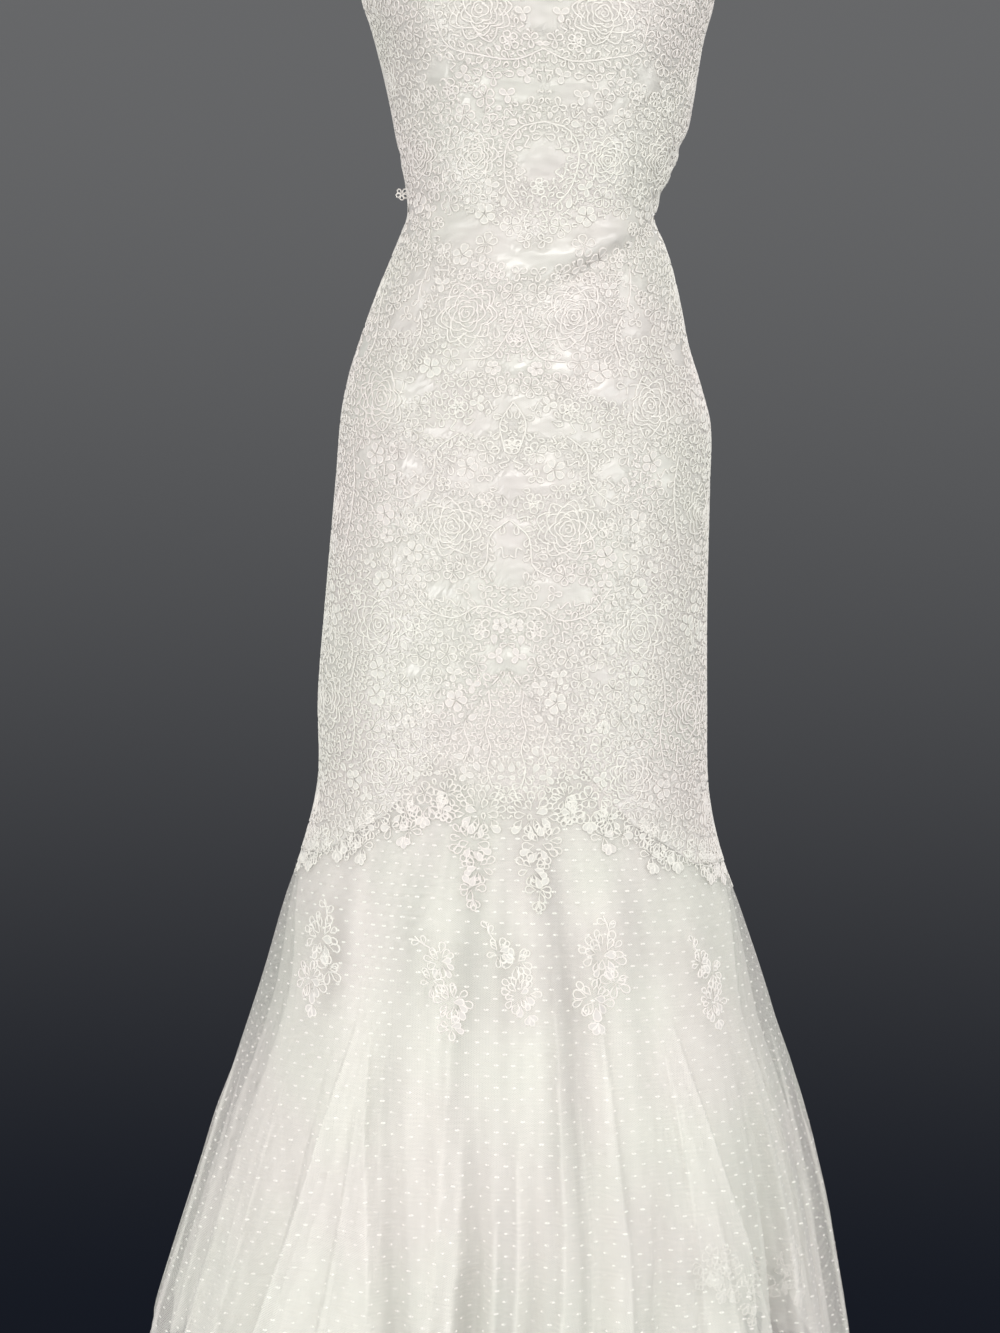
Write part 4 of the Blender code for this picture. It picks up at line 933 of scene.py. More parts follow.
def add_tree(name, **sockets):
    """An empty geometry tree with named inputs; gives back the tree, its inputs and its output."""
    tree = bpy.data.node_groups.new(name, "GeometryNodeTree")
    for socket, kind in {"Geometry": "Geometry", **sockets}.items():
        tree.interface.new_socket(socket.replace("_", " "), in_out="INPUT", socket_type="NodeSocket" + kind)
    tree.interface.new_socket("Geometry", in_out="OUTPUT", socket_type="NodeSocketGeometry")
    return tree, tree.nodes.new("NodeGroupInput").outputs, tree.nodes.new("NodeGroupOutput").inputs[0]


def on_cloth(tree, inputs, spot):
    """Place and outward direction of the cloth at a spot of its flat map, and whether it is on the cloth."""
    surface = add_node(tree, "GeometryNodeObjectInfo", {"Object": inputs["Cloth"]}).outputs["Geometry"]
    map_name = {"Name": inputs["Map"]}
    places = result(tree, "GeometryNodeInputNamedAttribute", map_name, data_type="FLOAT_VECTOR")
    found = []
    for kind in ("GeometryNodeInputPosition", "GeometryNodeInputNormal"):
        values = {"Mesh": surface, 1: result(tree, kind), 2: places, 3: spot}
        found.append(add_node(tree, "GeometryNodeSampleUVSurface", values, data_type="FLOAT_VECTOR").outputs)
    return found[0]["Value"], found[1]["Value"], found[0]["Is Valid"]


def trimmed(tree, geometry, is_on):
    """Cut away what lies off the cloth."""
    off = result(tree, "FunctionNodeBooleanMath", {0: is_on}, operation="NOT")
    return result(tree, "GeometryNodeDeleteGeometry", {"Geometry": geometry, "Selection": off})


def put(tree, geometry, place):
    return result(tree, "GeometryNodeSetPosition", {"Geometry": geometry, "Position": place})


def given(tree, geometry, material):
    return result(tree, "GeometryNodeSetMaterial", {"Geometry": geometry, "Material": material})


def cord_along(tree, mesh, sides, radius):
    """Round cord along bare edges."""
    path = result(tree, "GeometryNodeMeshToCurve", {"Mesh": mesh})
    ring = result(tree, "GeometryNodeCurvePrimitiveCircle", {"Resolution": sides, "Radius": radius})
    return result(tree, "GeometryNodeCurveToMesh", {0: path, 1: ring, "Fill Caps": True})


def smooth_and_real(tree, geometry):
    smooth = result(tree, "GeometryNodeSetShadeSmooth", {"Geometry": geometry})
    return result(tree, "GeometryNodeRealizeInstances", {"Geometry": smooth})


lace_sockets = {"Lift": "Float", "Cord_Radius": "Float", "Thread": "Material", "Fill": "Material"}
lay_lace, lay_in, lay_out = add_tree("lay_lace", Cloth="Object", Map="String", **lace_sockets)
flat_place = result(lay_lace, "GeometryNodeInputPosition")
spot_on, facing, is_on = on_cloth(lay_lace, lay_in, flat_place)
crown = add_node(lay_lace, "ShaderNodeSeparateXYZ", {0: flat_place}).outputs["Z"]
proud = scaled(lay_lace, facing, calc(lay_lace, "ADD", crown, lay_in["Lift"]))
laid = trimmed(lay_lace, lay_in["Geometry"], is_on)
laid = put(lay_lace, laid, vector_calc(lay_lace, "ADD", spot_on, proud))
is_petal = result(lay_lace, "GeometryNodeInputNamedAttribute", {"Name": "petal"}, data_type="BOOLEAN")
parts = add_node(lay_lace, "GeometryNodeSeparateGeometry", {"Geometry": laid, "Selection": is_petal}).outputs
corded = cord_along(lay_lace, parts["Inverted"], 4, lay_in["Cord Radius"])
both = lay_lace.nodes.new("GeometryNodeJoinGeometry")
lay_lace.links.new(given(lay_lace, corded, lay_in["Thread"]), both.inputs[0])
lay_lace.links.new(given(lay_lace, parts["Selection"], lay_in["Fill"]), both.inputs[0])
lay_lace.links.new(smooth_and_real(lay_lace, both.outputs[0]), lay_out)


def run_tree(piece, tree, values):
    """Make a piece with a geometry tree, and keep the result as its plain mesh."""
    modifier = piece.modifiers.new(tree.name, "NODES")
    modifier.node_group = tree
    for item in tree.interface.items_tree:
        if item.in_out == "INPUT" and item.name in values:
            modifier[item.identifier] = values[item.name]
    settle(piece)
    return piece


def add_lace(name, motifs, cloth):
    values = {"Lift": LACE_LIFT, "Cord Radius": CORD_RADIUS, "Thread": lace_thread, "Fill": lace_fill}
    return run_tree(add_drawing(name, motifs), lay_lace, values | {"Cloth": cloth, "Map": "cut"})


def object_place(tree):
    return add_node(tree, "ShaderNodeTexCoord").outputs["Object"]


def strands(tree, place, scale, distortion, detail=2.0):
    """Slanting ridges of thread."""
    values = {"Vector": place, "Scale": scale, "Distortion": distortion, "Detail": detail}
    return add_node(tree, "ShaderNodeTexWave", values, bands_direction="DIAGONAL").outputs[1]


def stitched(name, low, high, roughness, twist):
    """Thread that catches a little light, its tone uneven and its surface twisted."""
    material, tree, shader = add_material(name, high, roughness, sheen_weight=0.25, sheen_roughness=0.45)
    place = object_place(tree)
    tint = blended(tree, noise(tree, place, 60.0), low, high)
    twisted = bump(tree, strands(tree, place, 420.0, 3.0, 1.0), twist, 0.0003)
    feed(tree, shader, tinted(tree, place, tint), twisted)
    return material


lace_thread = stitched("lace_thread", (0.775, 0.750, 0.716), (0.850, 0.825, 0.790), 0.55, 0.35)
lace_fill = stitched("lace_fill", (0.61, 0.592, 0.564), (0.67, 0.652, 0.624), 0.50, 0.25)


def read_map(mesh, map_name):
    places = np.empty(len(mesh.loops) * 2, dtype=np.float32)
    mesh.uv_layers[map_name].uv.foreach_get("vector", places)
    return places.reshape(-1, 2)


def declare_cloth(piece):
    """Work out a sheet's cut size from its flat map and the area of its outer face; the size is not kept, and
    the piece comes back through a function.
    """
    size = np.ptp(read_map(piece.data, "cut"), axis=0)
    area = sum(face.area for face in piece.data.polygons)
    size *= max(1.0, math.sqrt(area / (size[0] * size[1]) / 0.98))
    return lambda: piece


def flat_places(mesh, map_name):
    """Where each point of a cloth lies on its flat map."""
    corners = np.empty(len(mesh.loops), dtype=np.int32)
    mesh.loops.foreach_get("vertex_index", corners)
    flat = np.zeros((len(mesh.vertices), 2))
    flat[corners] = read_map(mesh, map_name) - MAP_MIDDLE
    return flat


def mark(mesh, name, values):
    """A value for each point of a mesh, for its material."""
    mesh.attributes.new(name, "FLOAT", "POINT").data.foreach_set("value", values)


GROUND_ABOVE, GROUND_FADE, SCALLOP_DEEP, SCALLOP_WIDE = 0.004, 0.012, 0.012, 0.031


def mark_laced(mesh, flat, low_line):
    """Note how far each point is above the lace's cut lower edge, where its ground ends in scallops."""
    across = np.abs(flat[:, 0])
    scallops = SCALLOP_DEEP * np.abs(np.sin(math.pi * across / SCALLOP_WIDE))
    edge = np.interp(across, *low_line.T) + GROUND_ABOVE + scallops
    mark(mesh, "laced", smooth_step((flat[:, 1] - edge) / GROUND_FADE))


def mark_bare(mesh, flat):
    """Note on a panel how bare of net and fine cord each spot is."""
    at = np.abs(flat[:, 0]) + 1j * flat[:, 1]
    mark(mesh, "bare", np.max([smooth_step(1.9 - 1.3 * out_of_patch(at, row)) for row in BARE + SLEEK], axis=0))


def cover_inside(mesh):
    """The inner face of a panel, whose points follow those of the outer face, has no bare patches."""
    bare = np.empty(len(mesh.vertices), dtype=np.float32)
    mesh.attributes["bare"].data.foreach_get("value", bare)
    bare[len(bare) // 2 :] = 0.0
    mesh.attributes["bare"].data.foreach_set("value", bare)


def hand_over(piece, node=None):
    """A piece rides on the gown, and may stand for a CAD node, which is then hidden."""
    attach(piece, "gown")
    if node:
        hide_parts(node)


PANEL_WALL = 0.0009
for name, cloth in panel_cloths.items():
    drawing, low_line = (BACK_LACE, BACK_LOW) if "back" in name else (FRONT_LACE, FRONT_LOW)
    flat = flat_places(cloth.data, "cut")
    mark_bare(cloth.data, flat)
    mark_laced(cloth.data, flat, low_line)
    lace = add_lace(name.replace("panel", "lace"), drawing[0] + drawing[1], cloth)
    declare = declare_cloth(cloth)
    give_wall(cloth, PANEL_WALL)
    cover_inside(cloth.data)
    hand_over(cloth, name)
    hand_over(lace)
    declare()


# Neck binding
#
# A narrow bias strip of the satin is folded over the top edge of the body and sewn down all round, up to the
# zip at the centre back.

BINDING_HEIGHT, BINDING_HALF, BINDING_INSET = 0.0055, 0.0015, 0.0006
BINDING_SIDES = 10
SEAM_GAP = 0.0003
ZIP_GAP_ANGLE = 0.4

binding_satin, binding_tree, binding_shader = add_material(
    "binding_satin", (0.78, 0.765, 0.73), 0.36, sheen_weight=0.2, sheen_roughness=0.4
)
binding_weave = strands(binding_tree, object_place(binding_tree), 380.0, 1.0)
binding_tree.links.new(bump(binding_tree, binding_weave, 0.12, 0.0002), binding_shader.inputs["Normal"])

binding_angles = np.linspace(-180 + ZIP_GAP_ANGLE, 180 - ZIP_GAP_ANGLE, 241)
binding_edge = body_points(binding_angles, neckline_height(binding_angles))
binding_out = binding_edge * [1, 1, 0]
binding_out /= np.linalg.norm(binding_out, axis=1, keepdims=True)
rings = []
for k in range(BINDING_SIDES):
    turn = 2 * math.pi * k / BINDING_SIDES
    lean = binding_out * (BINDING_HALF * math.cos(turn) - BINDING_INSET)
    rings.append(binding_edge + lean + [0, 0, SEAM_GAP + BINDING_HEIGHT * (0.5 + 0.5 * math.sin(turn))])
rings = np.stack(rings)
index = np.arange(rings.shape[0] * rings.shape[1]).reshape(rings.shape[:2])
binding_faces = grid_faces(np.vstack([index, index[:1]])).tolist()
binding_faces += [index[:, 0].tolist(), index[::-1, -1].tolist()]
binding = add_piece("neck_binding_roll", rings.reshape(-1, 3).tolist(), [], binding_faces, binding_satin)
hand_over(binding, "neck_binding")


# Skirt layers
#
# Three layers are gathered into the V seam, each cut in a front and a back: a satin lining, plain tulle over
# it, and tulle with woven dots outside. They flare into uneven folds, and the lining's hem ends above the
# others.

Valley = namedtuple("Valley", "hem_angle top_angle half_width depth start")
VALLEYS = [Valley(*row) for row in (
    (-166, -165, 7.0, 0.026, -0.64), (-150, -152, 7.0, 0.034, -0.68), (-133, -134, 8.0, 0.024, -0.7),
    (-115, -116, 7.0, 0.03, -0.72), (-101, -101, 5.0, 0.018, -0.74), (-68, -66, 8.0, 0.01, -0.7),
    (-48, -40, 6.0, 0.024, -0.74), (-16, -27, 4.5, 0.026, -0.74), (-11.5, -20, 2.8, 0.014, -0.58),
    (-5, -7, 4.0, 0.036, -0.76), (4.5, 4, 3.6, 0.022, -0.8), (16, 14, 4.2, 0.026, -0.56),
    (26, 29, 4.0, 0.02, -0.74), (35, 34, 3.6, 0.013, -0.76), (53, 55, 5.0, 0.038, -0.74),
    (72, 70, 8.0, 0.012, -0.7), (100, 100, 5.0, 0.02, -0.72), (113, 114, 6.0, 0.03, -0.7),
    (130, 131, 8.0, 0.024, -0.72), (148, 150, 7.0, 0.036, -0.68), (164, 163, 7.0, 0.024, -0.66),
    (176, 176, 4.0, 0.016, -0.62),
)]
FOLD_TOP, HEM = -0.740, -1.080
VALLEY_TOP_WIDTH, VALLEY_EASE, DEEPEST = 0.55, 0.12, 0.036
HANG_TOP, HANG_REACH = -0.600, 0.180
HEM_SHARE = 0.75
TUCKED_UP = 0.004
SKIRT_DROP = 0.56
LINING_WALL = 0.0008

# Pressed edges of the folds: where each starts and ends, how many degrees its broad side takes, to the wearer's
# left where that is above zero, and how far it stands up
Edge = namedtuple("Edge", "start_angle start_height hem_angle broad rise")
FOLD_EDGES = [Edge(*row) for row in (
    (-34.0, -0.728, -44.5, 9, 0.011), (-32.0, -0.724, -18.8, -9, 0.01), (-30.5, -0.8, -31.0, 5, 0.0035),
    (-12.0, -0.64, -12.5, -5, 0.004), (-9.0, -0.79, -8.5, -4, 0.0055), (-3.0, -0.86, -1.0, -3, 0.004),
    (1.2, -0.79, 1.1, 4, 0.006), (9.7, -0.655, 8.4, 5, 0.0075), (13.0, -0.74, 14.6, 6, 0.0075),
    (19.0, -0.62, 21.0, -5, 0.006), (24.0, -0.86, 25.5, 4, 0.004), (32.6, -0.715, 35.0, 8, 0.0085),
    (35.6, -0.717, 50.0, -9, 0.011), (38.0, -0.86, 42.0, -5, 0.0035), (58.2, -0.745, 56.0, 5, 0.006),
    (64.0, -0.745, 61.0, 5, 0.0055), (70.0, -0.84, 69.0, 6, 0.005), (-51.0, -0.78, -53.0, -6, 0.006),
    (-62.0, -0.82, -61.0, -6, 0.005), (-71.0, -0.86, -70.0, 6, 0.004), (-80.0, -0.76, -78.0, 6, 0.005),
    (82.0, -0.8, 80.0, 6, 0.005), (94.0, -0.74, 92.5, -6, 0.006), (106.0, -0.74, 106.5, 6, 0.0065),
    (122.0, -0.74, 119.5, 7, 0.008), (131.0, -0.73, 139.5, -8, 0.009), (156.0, -0.7, 155.5, 6, 0.0065),
    (170.0, -0.68, 171.0, -5, 0.006), (182.0, -0.66, 182.0, 5, 0.0065), (188.0, -0.76, 190.0, -4, 0.005),
    (201.0, -0.72, 202.0, 7, 0.0075), (216.0, -0.72, 219.0, -8, 0.0085), (228.0, -0.74, 222.0, 6, 0.007),
    (236.0, -0.74, 239.0, -7, 0.0085), (252.0, -0.76, 252.5, 6, 0.006), (266.0, -0.8, 265.0, -6, 0.005),
)]
# Soft folds at the top of the skirt, where the cloth is gathered in, painted on as light and shade: painted
# light where the cloth lies double, painted shade where it turns in
Band = namedtuple("Band", "top_angle low_angle half_width start end level")
BANDS = [Band(*row) for row in (
    (10.4, 14.4, 3.6, -0.56, -0.9, -0.75), (3.4, 6.6, 3.0, -0.59, -0.86, 0.45),
    (24.0, 21.6, 4.0, -0.6, -0.88, 0.55), (34.0, 27.5, 3.0, -0.59, -0.86, -0.5),
    (36.0, 31.0, 3.0, -0.68, -0.88, 0.45), (-24.0, -27.0, 4.0, -0.58, -0.88, -0.4),
    (-39.5, -35.5, 3.6, -0.61, -0.9, 0.6), (-43.5, -46.0, 3.0, -0.62, -0.84, -0.4),
    (-16.0, -18.0, 3.4, -0.6, -0.88, 0.45), (-8.0, -13.0, 3.0, -0.6, -0.88, -0.55),
    (-2.0, -2.5, 2.2, -0.64, -0.86, -0.3), (47.0, 45.0, 4.0, -0.61, -0.88, 0.4),
    (60.5, 52.5, 2.8, -0.64, -1.06, -0.8), (-62.0, -60.0, 5.0, -0.62, -0.88, -0.4),
    (-76.0, -74.0, 6.0, -0.62, -0.88, 0.4), (78.0, 76.0, 6.0, -0.62, -0.88, 0.4),
    (103.0, 106.0, 5.0, -0.62, -0.9, -0.5), (117.0, 116.0, 4.0, -0.62, -0.86, 0.5),
    (136.0, 139.0, 4.0, -0.61, -0.9, -0.55), (146.0, 149.0, 3.6, -0.6, -0.86, 0.45),
    (163.0, 161.0, 3.4, -0.57, -0.88, -0.55), (174.0, 176.0, 3.4, -0.56, -0.86, 0.45),
    (187.0, 184.0, 3.0, -0.56, -0.9, -0.6), (198.0, 200.0, 4.0, -0.58, -0.86, 0.5),
    (212.0, 215.0, 4.0, -0.6, -0.9, -0.5), (226.0, 223.0, 3.6, -0.61, -0.86, 0.45),
    (243.0, 246.0, 5.0, -0.62, -0.9, -0.5), (256.0, 254.0, 4.0, -0.62, -0.86, 0.4),
)]
# Steepness of the pressed edges' drop, in degrees, and how far the painted light beside each edge and the
# painted shade on its steep side reach
EDGE_STEEP, LINE_LIGHT, LINE_DARK = 1.1, 1.1, 2.2
# Painted shade over the top of the skirt: how deep, and the height and reach over which it fades out downwards
TOP_SHADE, TOP_SHADE_HEIGHT, TOP_SHADE_REACH = 0.30, -0.76, 0.10

Layer = namedtuple("Layer", "name tuck hang fold_share shorter column row")
DOTTED = Layer("dotted_tulle", 0.0007, 0.000, 1.00, 0.000, 0.45, 0.0110)
UNDER = Layer("under_tulle", 0.0024, 0.016, 0.90, 0.010, 0.9, 0.0150)
LINING = Layer("skirt_lining", 0.0038, 0.030, 0.85, 0.022, 1.2, 0.0150)
HALVES = {"front": (-90.0, 90.0), "back": (90.0, 270.0)}
# Over the wearer's left foot the lining's hem is caught up, which shows the tulle below it
CAUGHT_ANGLE, CAUGHT_SPREAD, CAUGHT_UP = 64.0, 13.0, 0.110
# The hem dips from the front to the sides and the back
HEM_SWEEP = 0.038


def fold_angle(hem_angle, height):
    """Where a line down the skirt lies at a height: fold lines lean between their start and the hem."""
    first = VALLEYS[0]
    rows = VALLEYS + [first._replace(hem_angle=first.hem_angle + 360, top_angle=first.top_angle + 360)]
    hems = np.array([row.hem_angle for row in rows], dtype=float)
    leans = np.array([row.top_angle - row.hem_angle for row in rows], dtype=float)
    at = wound_back(hem_angle)
    at = np.where(at < hems[0], at + 360.0, at)
    seam = seam_height(hem_angle)
    above = smooth_step((seam - height) / (seam - FOLD_TOP))
    below = (height - HEM) / (FOLD_TOP - HEM)
    return hem_angle + np.interp(at, hems, leans) * np.where(height > FOLD_TOP, above, below)


def valley_depth(hem_angle, height):
    total = np.zeros_like(height)
    for valley in VALLEYS:
        down = np.clip((valley.start - height) / (valley.start - HEM), 0, None)
        reach = valley.half_width * (VALLEY_TOP_WIDTH + (1 - VALLEY_TOP_WIDTH) * down)
        aside = np.clip(folded(hem_angle - valley.hem_angle) / reach, 0, 1)
        total += valley.depth * down * down / (down + VALLEY_EASE) * np.cos(math.pi / 2 * aside) ** 2
    return total


def from_edge(edge, angle, height):
    """Degrees from a pressed edge towards its broad side, and how far down the edge runs here, 0 to 1."""
    down = np.clip((edge.start_height - height) / (edge.start_height - HEM), 0, 1)
    middle = edge.start_angle + (edge.hem_angle - edge.start_angle) * down
    return wound_back(angle - middle) * np.sign(edge.broad), down


def edge_rise(angle, height):
    """Pressed edges stand up along each fold, broad on one side and steep on the other."""
    total = np.zeros_like(height)
    for edge in FOLD_EDGES:
        aside, down = from_edge(edge, angle, height)
        broad = np.clip(1 - aside / (abs(edge.broad) * (0.35 + 0.65 * down)), 0, 1) ** 1.2
        steep = np.clip(1 + aside / EDGE_STEEP, 0, 1) ** 1.5
        total += edge.rise * smooth_step(down * 3) * np.where(aside > 0, broad, steep)
    return total


def fold_tone(hem_angle, angle, height):
    """Painted light and shade of the folds, 0.5 being plain cloth: painted shade in the valleys, on the steep
    side of each pressed edge and over the top of the skirt, painted light on the broad side of each edge, and
    bands of painted light where the cloth lies double and painted shade where it turns in.
    """
    total = -0.6 * np.clip(valley_depth(hem_angle, height) / DEEPEST, 0, 1)
    for edge in FOLD_EDGES:
        aside, down = from_edge(edge, angle, height)
        light = np.exp(-np.clip(aside, 0, None) / LINE_LIGHT)
        dark = -np.exp(np.clip(aside, None, 0) / LINE_DARK)
        total += smooth_step(down * 4) * (0.5 + edge.rise / 0.018) * np.where(aside > 0, light, dark)
    for band in BANDS:
        down = np.clip((band.start - height) / (band.start - band.end), 0, 1)
        middle = band.top_angle + (band.low_angle - band.top_angle) * down
        aside = wound_back(angle - middle) / band.half_width
        total += band.level * np.exp(-aside * aside) * smooth_step(5 * down) * smooth_step(3 * (1 - down))
    total -= TOP_SHADE * smooth_step((height - TOP_SHADE_HEIGHT) / TOP_SHADE_REACH)
    return np.clip(0.5 + 0.5 * total, 0, 1)


def skirt_points(layer, hem_angle, share):
    """Points of a skirt layer, and where they lie on the plain outline."""
    top = seam_height(hem_angle) + TUCKED_UP
    lower = np.clip(share - HEM_SHARE, 0, None) / (1 - HEM_SHARE)
    caught = CAUGHT_UP * np.exp(-(((hem_angle - CAUGHT_ANGLE) / CAUGHT_SPREAD) ** 2))
    caught = caught if layer is LINING else 0.0
    sweep = HEM_SWEEP * np.sin(np.radians(folded(hem_angle) / 2)) ** 0.5
    height = top + share * (HEM - sweep - top) + (layer.shorter + caught) * lower
    loose = smooth_step((HANG_TOP - height) / HANG_REACH)
    angle = fold_angle(hem_angle, height)
    inside = layer.tuck + layer.hang * loose
    inside = inside + (1 - (1 - layer.fold_share) * loose) * valley_depth(hem_angle, height)
    inside = inside - layer.fold_share * edge_rise(angle, height)
    return outline(angle, height, -inside), angle, height


def add_skirt_layer(layer, material):
    made = {}
    for half, (start, end) in HALVES.items():
        middle = (start + end) / 2
        columns = np.linspace(start, end, round((end - start) / layer.column) + 1)
        share = np.linspace(1, 0, round(SKIRT_DROP / layer.row) + 1)[:, None]
        angle, share = np.broadcast_arrays(columns[None, :], share)
        points, laid_angle, height = skirt_points(layer, angle, share)
        run = run_along(points)
        run -= run[:, [len(columns) // 2]]
        laid = around(laid_angle, height, middle)
        maps = {"cut": np.stack([run, height], -1), "laid": np.stack([laid, height], -1)}
        made[half] = add_cloth(f"{layer.name}_{half}_cloth", points, maps, material)
        # Each point carries the painted light and shade of its folds as its tone
        mark(made[half].data, "tone", fold_tone(angle, laid_angle, height).ravel())
    return made


# Painted light and shade of folded cloth, scaling its colour: painted shade where it turns in, painted light
# where it lies double, with soft streaks down the folds
painted_shade_group, painted_shade_in, painted_shade_out = add_group("fold_tone", ["Level"], Tone=0.5)
down_fold = vector_calc(painted_shade_group, "MULTIPLY", painted_shade_in["Vector"], (1.0, 0.03, 1.0))
streak_level = ranged(painted_shade_group, noise(painted_shade_group, down_fold, 75.0), 0.955, 1.03, 0.35, 0.65)
painted_fold_level = ranged(painted_shade_group, painted_shade_in["Tone"], 0.78, 1.10)
painted_shade_group.links.new(calc(painted_shade_group, "MULTIPLY", streak_level, painted_fold_level), painted_shade_out["Level"])


def with_painted_fold_shade(tree, cut, color):
    """The colour of folded cloth, scaled by the painted light and shade that its mesh carries."""
    return scaled(tree, color, use_group(tree, painted_shade_group, cut, Tone=mesh_mark(tree, "tone"))[0])


LACE_GROUND = (0.635, 0.615, 0.585)


def tulle(name, color, holes, threads):
    """Sheer net: its threads are solid, its holes almost clear, and both vary a little along the threads."""
    material, tree, shader = add_material(name, color, 0.75, sheen_weight=0.3, sheen_roughness=0.5)
    cut, laced = cut_map(tree), mesh_mark(tree, "laced")
    net = use_group(tree, net_group, cut, Pitch=0.0015, Thread=0.42)[0]
    slubs = use_group(tree, cloth_group, cut, Patch=22.0, Slub=420.0)["Slubs"]
    sheer = ranged(tree, net, ranged(tree, slubs, holes - 0.10, holes + 0.10, 0.35, 0.65), threads)
    fine = use_group(tree, vermicelli_group, cut)[0]
    ground = calc(tree, "MULTIPLY", ranged(tree, fine, 0.80, 0.96), laced)
    tree.links.new(calc(tree, "MAXIMUM", sheer, ground), shader.inputs["Alpha"])
    corded = blended(tree, calc(tree, "MULTIPLY", fine, CORD_SHARE), LACE_GROUND, THREAD)
    # The folded net's colour carries its painted light and shade
    shaded = blended(tree, laced, with_painted_fold_shade(tree, cut, color), corded)
    feed(tree, shader, tinted(tree, cut, shaded), bump(tree, net, 0.2, 0.0002))
    return material


def plain_satin(name, color, roughness):
    material, tree, shader = add_material(name, color, roughness, sheen_weight=0.2, sheen_roughness=0.4)
    cut = cut_map(tree)
    uneven = use_group(tree, cloth_group, cut, Patch=14.0, Slub=900.0)
    tint = blended(tree, uneven["Patches"], [0.95 * c for c in color], color)
    # The lining's colour carries the painted light and shade of its folds
    feed(tree, shader, with_painted_fold_shade(tree, cut, tint), bump(tree, uneven["Slubs"], 0.15, 0.0002))
    return material


lining_cloths = add_skirt_layer(LINING, plain_satin("lining_satin", (0.85, 0.83, 0.785), 0.42))
under_cloths = add_skirt_layer(UNDER, tulle("under_tulle_net", (0.89, 0.875, 0.835), 0.12, 0.56))
dotted_cloths = add_skirt_layer(DOTTED, tulle("dotted_tulle_net", (0.90, 0.885, 0.845), 0.12, 0.62))
for half, low_line in (("front", FRONT_LOW), ("back", BACK_LOW)):
    mesh = dotted_cloths[half].data
    mark_laced(mesh, flat_places(mesh, "laid"), low_line)

# The woven dots: small flat ovals in staggered rows across the cloth
DOT_ACROSS, DOT_ROW, DOT_REACH, DOT_TOP = 0.0192, 0.0094, 0.74, -0.40
DOT_SIZE = (0.0025, 0.0010, 1.0)
DOT_BESIDE = (0.0015, 0, 0)
dot_thread = stitched("dot_thread", (0.74, 0.73, 0.70), (0.79, 0.78, 0.75), 0.65, 0.1)

scatter_dots, dots_in, dots_out = add_tree("scatter_dots", Cloth="Object", Map="String", Thread="Material")
dot_flat = result(scatter_dots, "GeometryNodeInputPosition")
dot_spot, dot_facing, dot_on = on_cloth(scatter_dots, dots_in, dot_flat)
dot_next = on_cloth(scatter_dots, dots_in, vector_calc(scatter_dots, "ADD", dot_flat, DOT_BESIDE))[0]
dot_way = vector_calc(scatter_dots, "SUBTRACT", dot_next, dot_spot)
dot_turn = result(scatter_dots, "FunctionNodeAlignRotationToVector", {"Vector": dot_facing}, axis="Z")
dot_turn = {"Rotation": dot_turn, "Vector": dot_way}
dot_turn = result(scatter_dots, "FunctionNodeAlignRotationToVector", dot_turn, axis="X", pivot_axis="Z")
dot_points = {"Geometry": trimmed(scatter_dots, dots_in["Geometry"], dot_on)}
dot_kept = add_node(scatter_dots, "GeometryNodeCaptureAttribute", dot_points, domain="POINT")
dot_kept.capture_items.new("ROTATION", "turn")
scatter_dots.links.new(dot_turn, dot_kept.inputs[1])
dot_disc = {"Vertices": 8, "Radius": 1.0}
dot_disc = result(scatter_dots, "GeometryNodeMeshCircle", dot_disc, fill_type="TRIANGLE_FAN")
dot_oval = result(scatter_dots, "GeometryNodeTransform", {"Geometry": dot_disc, "Scale": DOT_SIZE})
dot_places = put(scatter_dots, dot_kept.outputs[0], dot_spot)
dot_all = {"Points": dot_places, "Instance": dot_oval, "Rotation": dot_kept.outputs[1]}
dot_all = smooth_and_real(scatter_dots, result(scatter_dots, "GeometryNodeInstanceOnPoints", dot_all))
scatter_dots.links.new(given(scatter_dots, dot_all, dots_in["Thread"]), dots_out)


def add_dots(half, cloth):
    spots = []
    for row, y in enumerate(np.arange(HEM + 0.004, DOT_TOP, DOT_ROW)):
        start = -DOT_REACH + DOT_ACROSS / 2 * (row % 2)
        spots += [(x + MAP_MIDDLE[0], y + MAP_MIDDLE[1], 0) for x in np.arange(start, DOT_REACH, DOT_ACROSS)]
    piece = add_piece(f"tulle_dots_{half}", spots, [], [])
    return run_tree(piece, scatter_dots, {"Cloth": cloth, "Map": "cut", "Thread": dot_thread})


dots = {half: add_dots(half, dotted_cloths[half]) for half in HALVES}
sewn_on = {half: [dots[half]] for half in HALVES}


# Lace edge and sprays
#
# The lower edge of the lace hangs over the tulle all round, past the V seam. Nine sprays cut from the same
# lace are sewn on below it by hand.

SPRAYS = [Placed(*row) for row in (
    ("spray_front", 1.5, -0.702, 12, 1.1), ("spray_front_left", 21.0, -0.702, -14, 1.25),
    ("spray_front_right", -14.5, -0.714, 16, 1.1), ("spray_side_left", 51.0, -0.716, 6, 1.0),
    ("spray_side_right", -50.0, -0.704, -16, 1.3), ("spray_side_back_left", 122.0, -0.716, 12, 1.05),
    ("spray_side_back_right", -124.0, -0.72, -12, 1.05), ("spray_back_left", 157.0, -0.712, -14, 1.08),
    ("spray_back_right", -158.0, -0.712, 14, 1.08),
)]
HEM_LACE = [
    (38.5, -0.948, 20), (43.0, -0.962, -30), (47.5, -0.984, 40), (58.5, -0.972, -20), (64.0, -0.968, 30),
    (67.0, -0.990, 0),
]
APPLIQUE_LIFT, APPLIQUE_CORD = 0.0004, 0.00078
SEAM_CUT = -0.0004

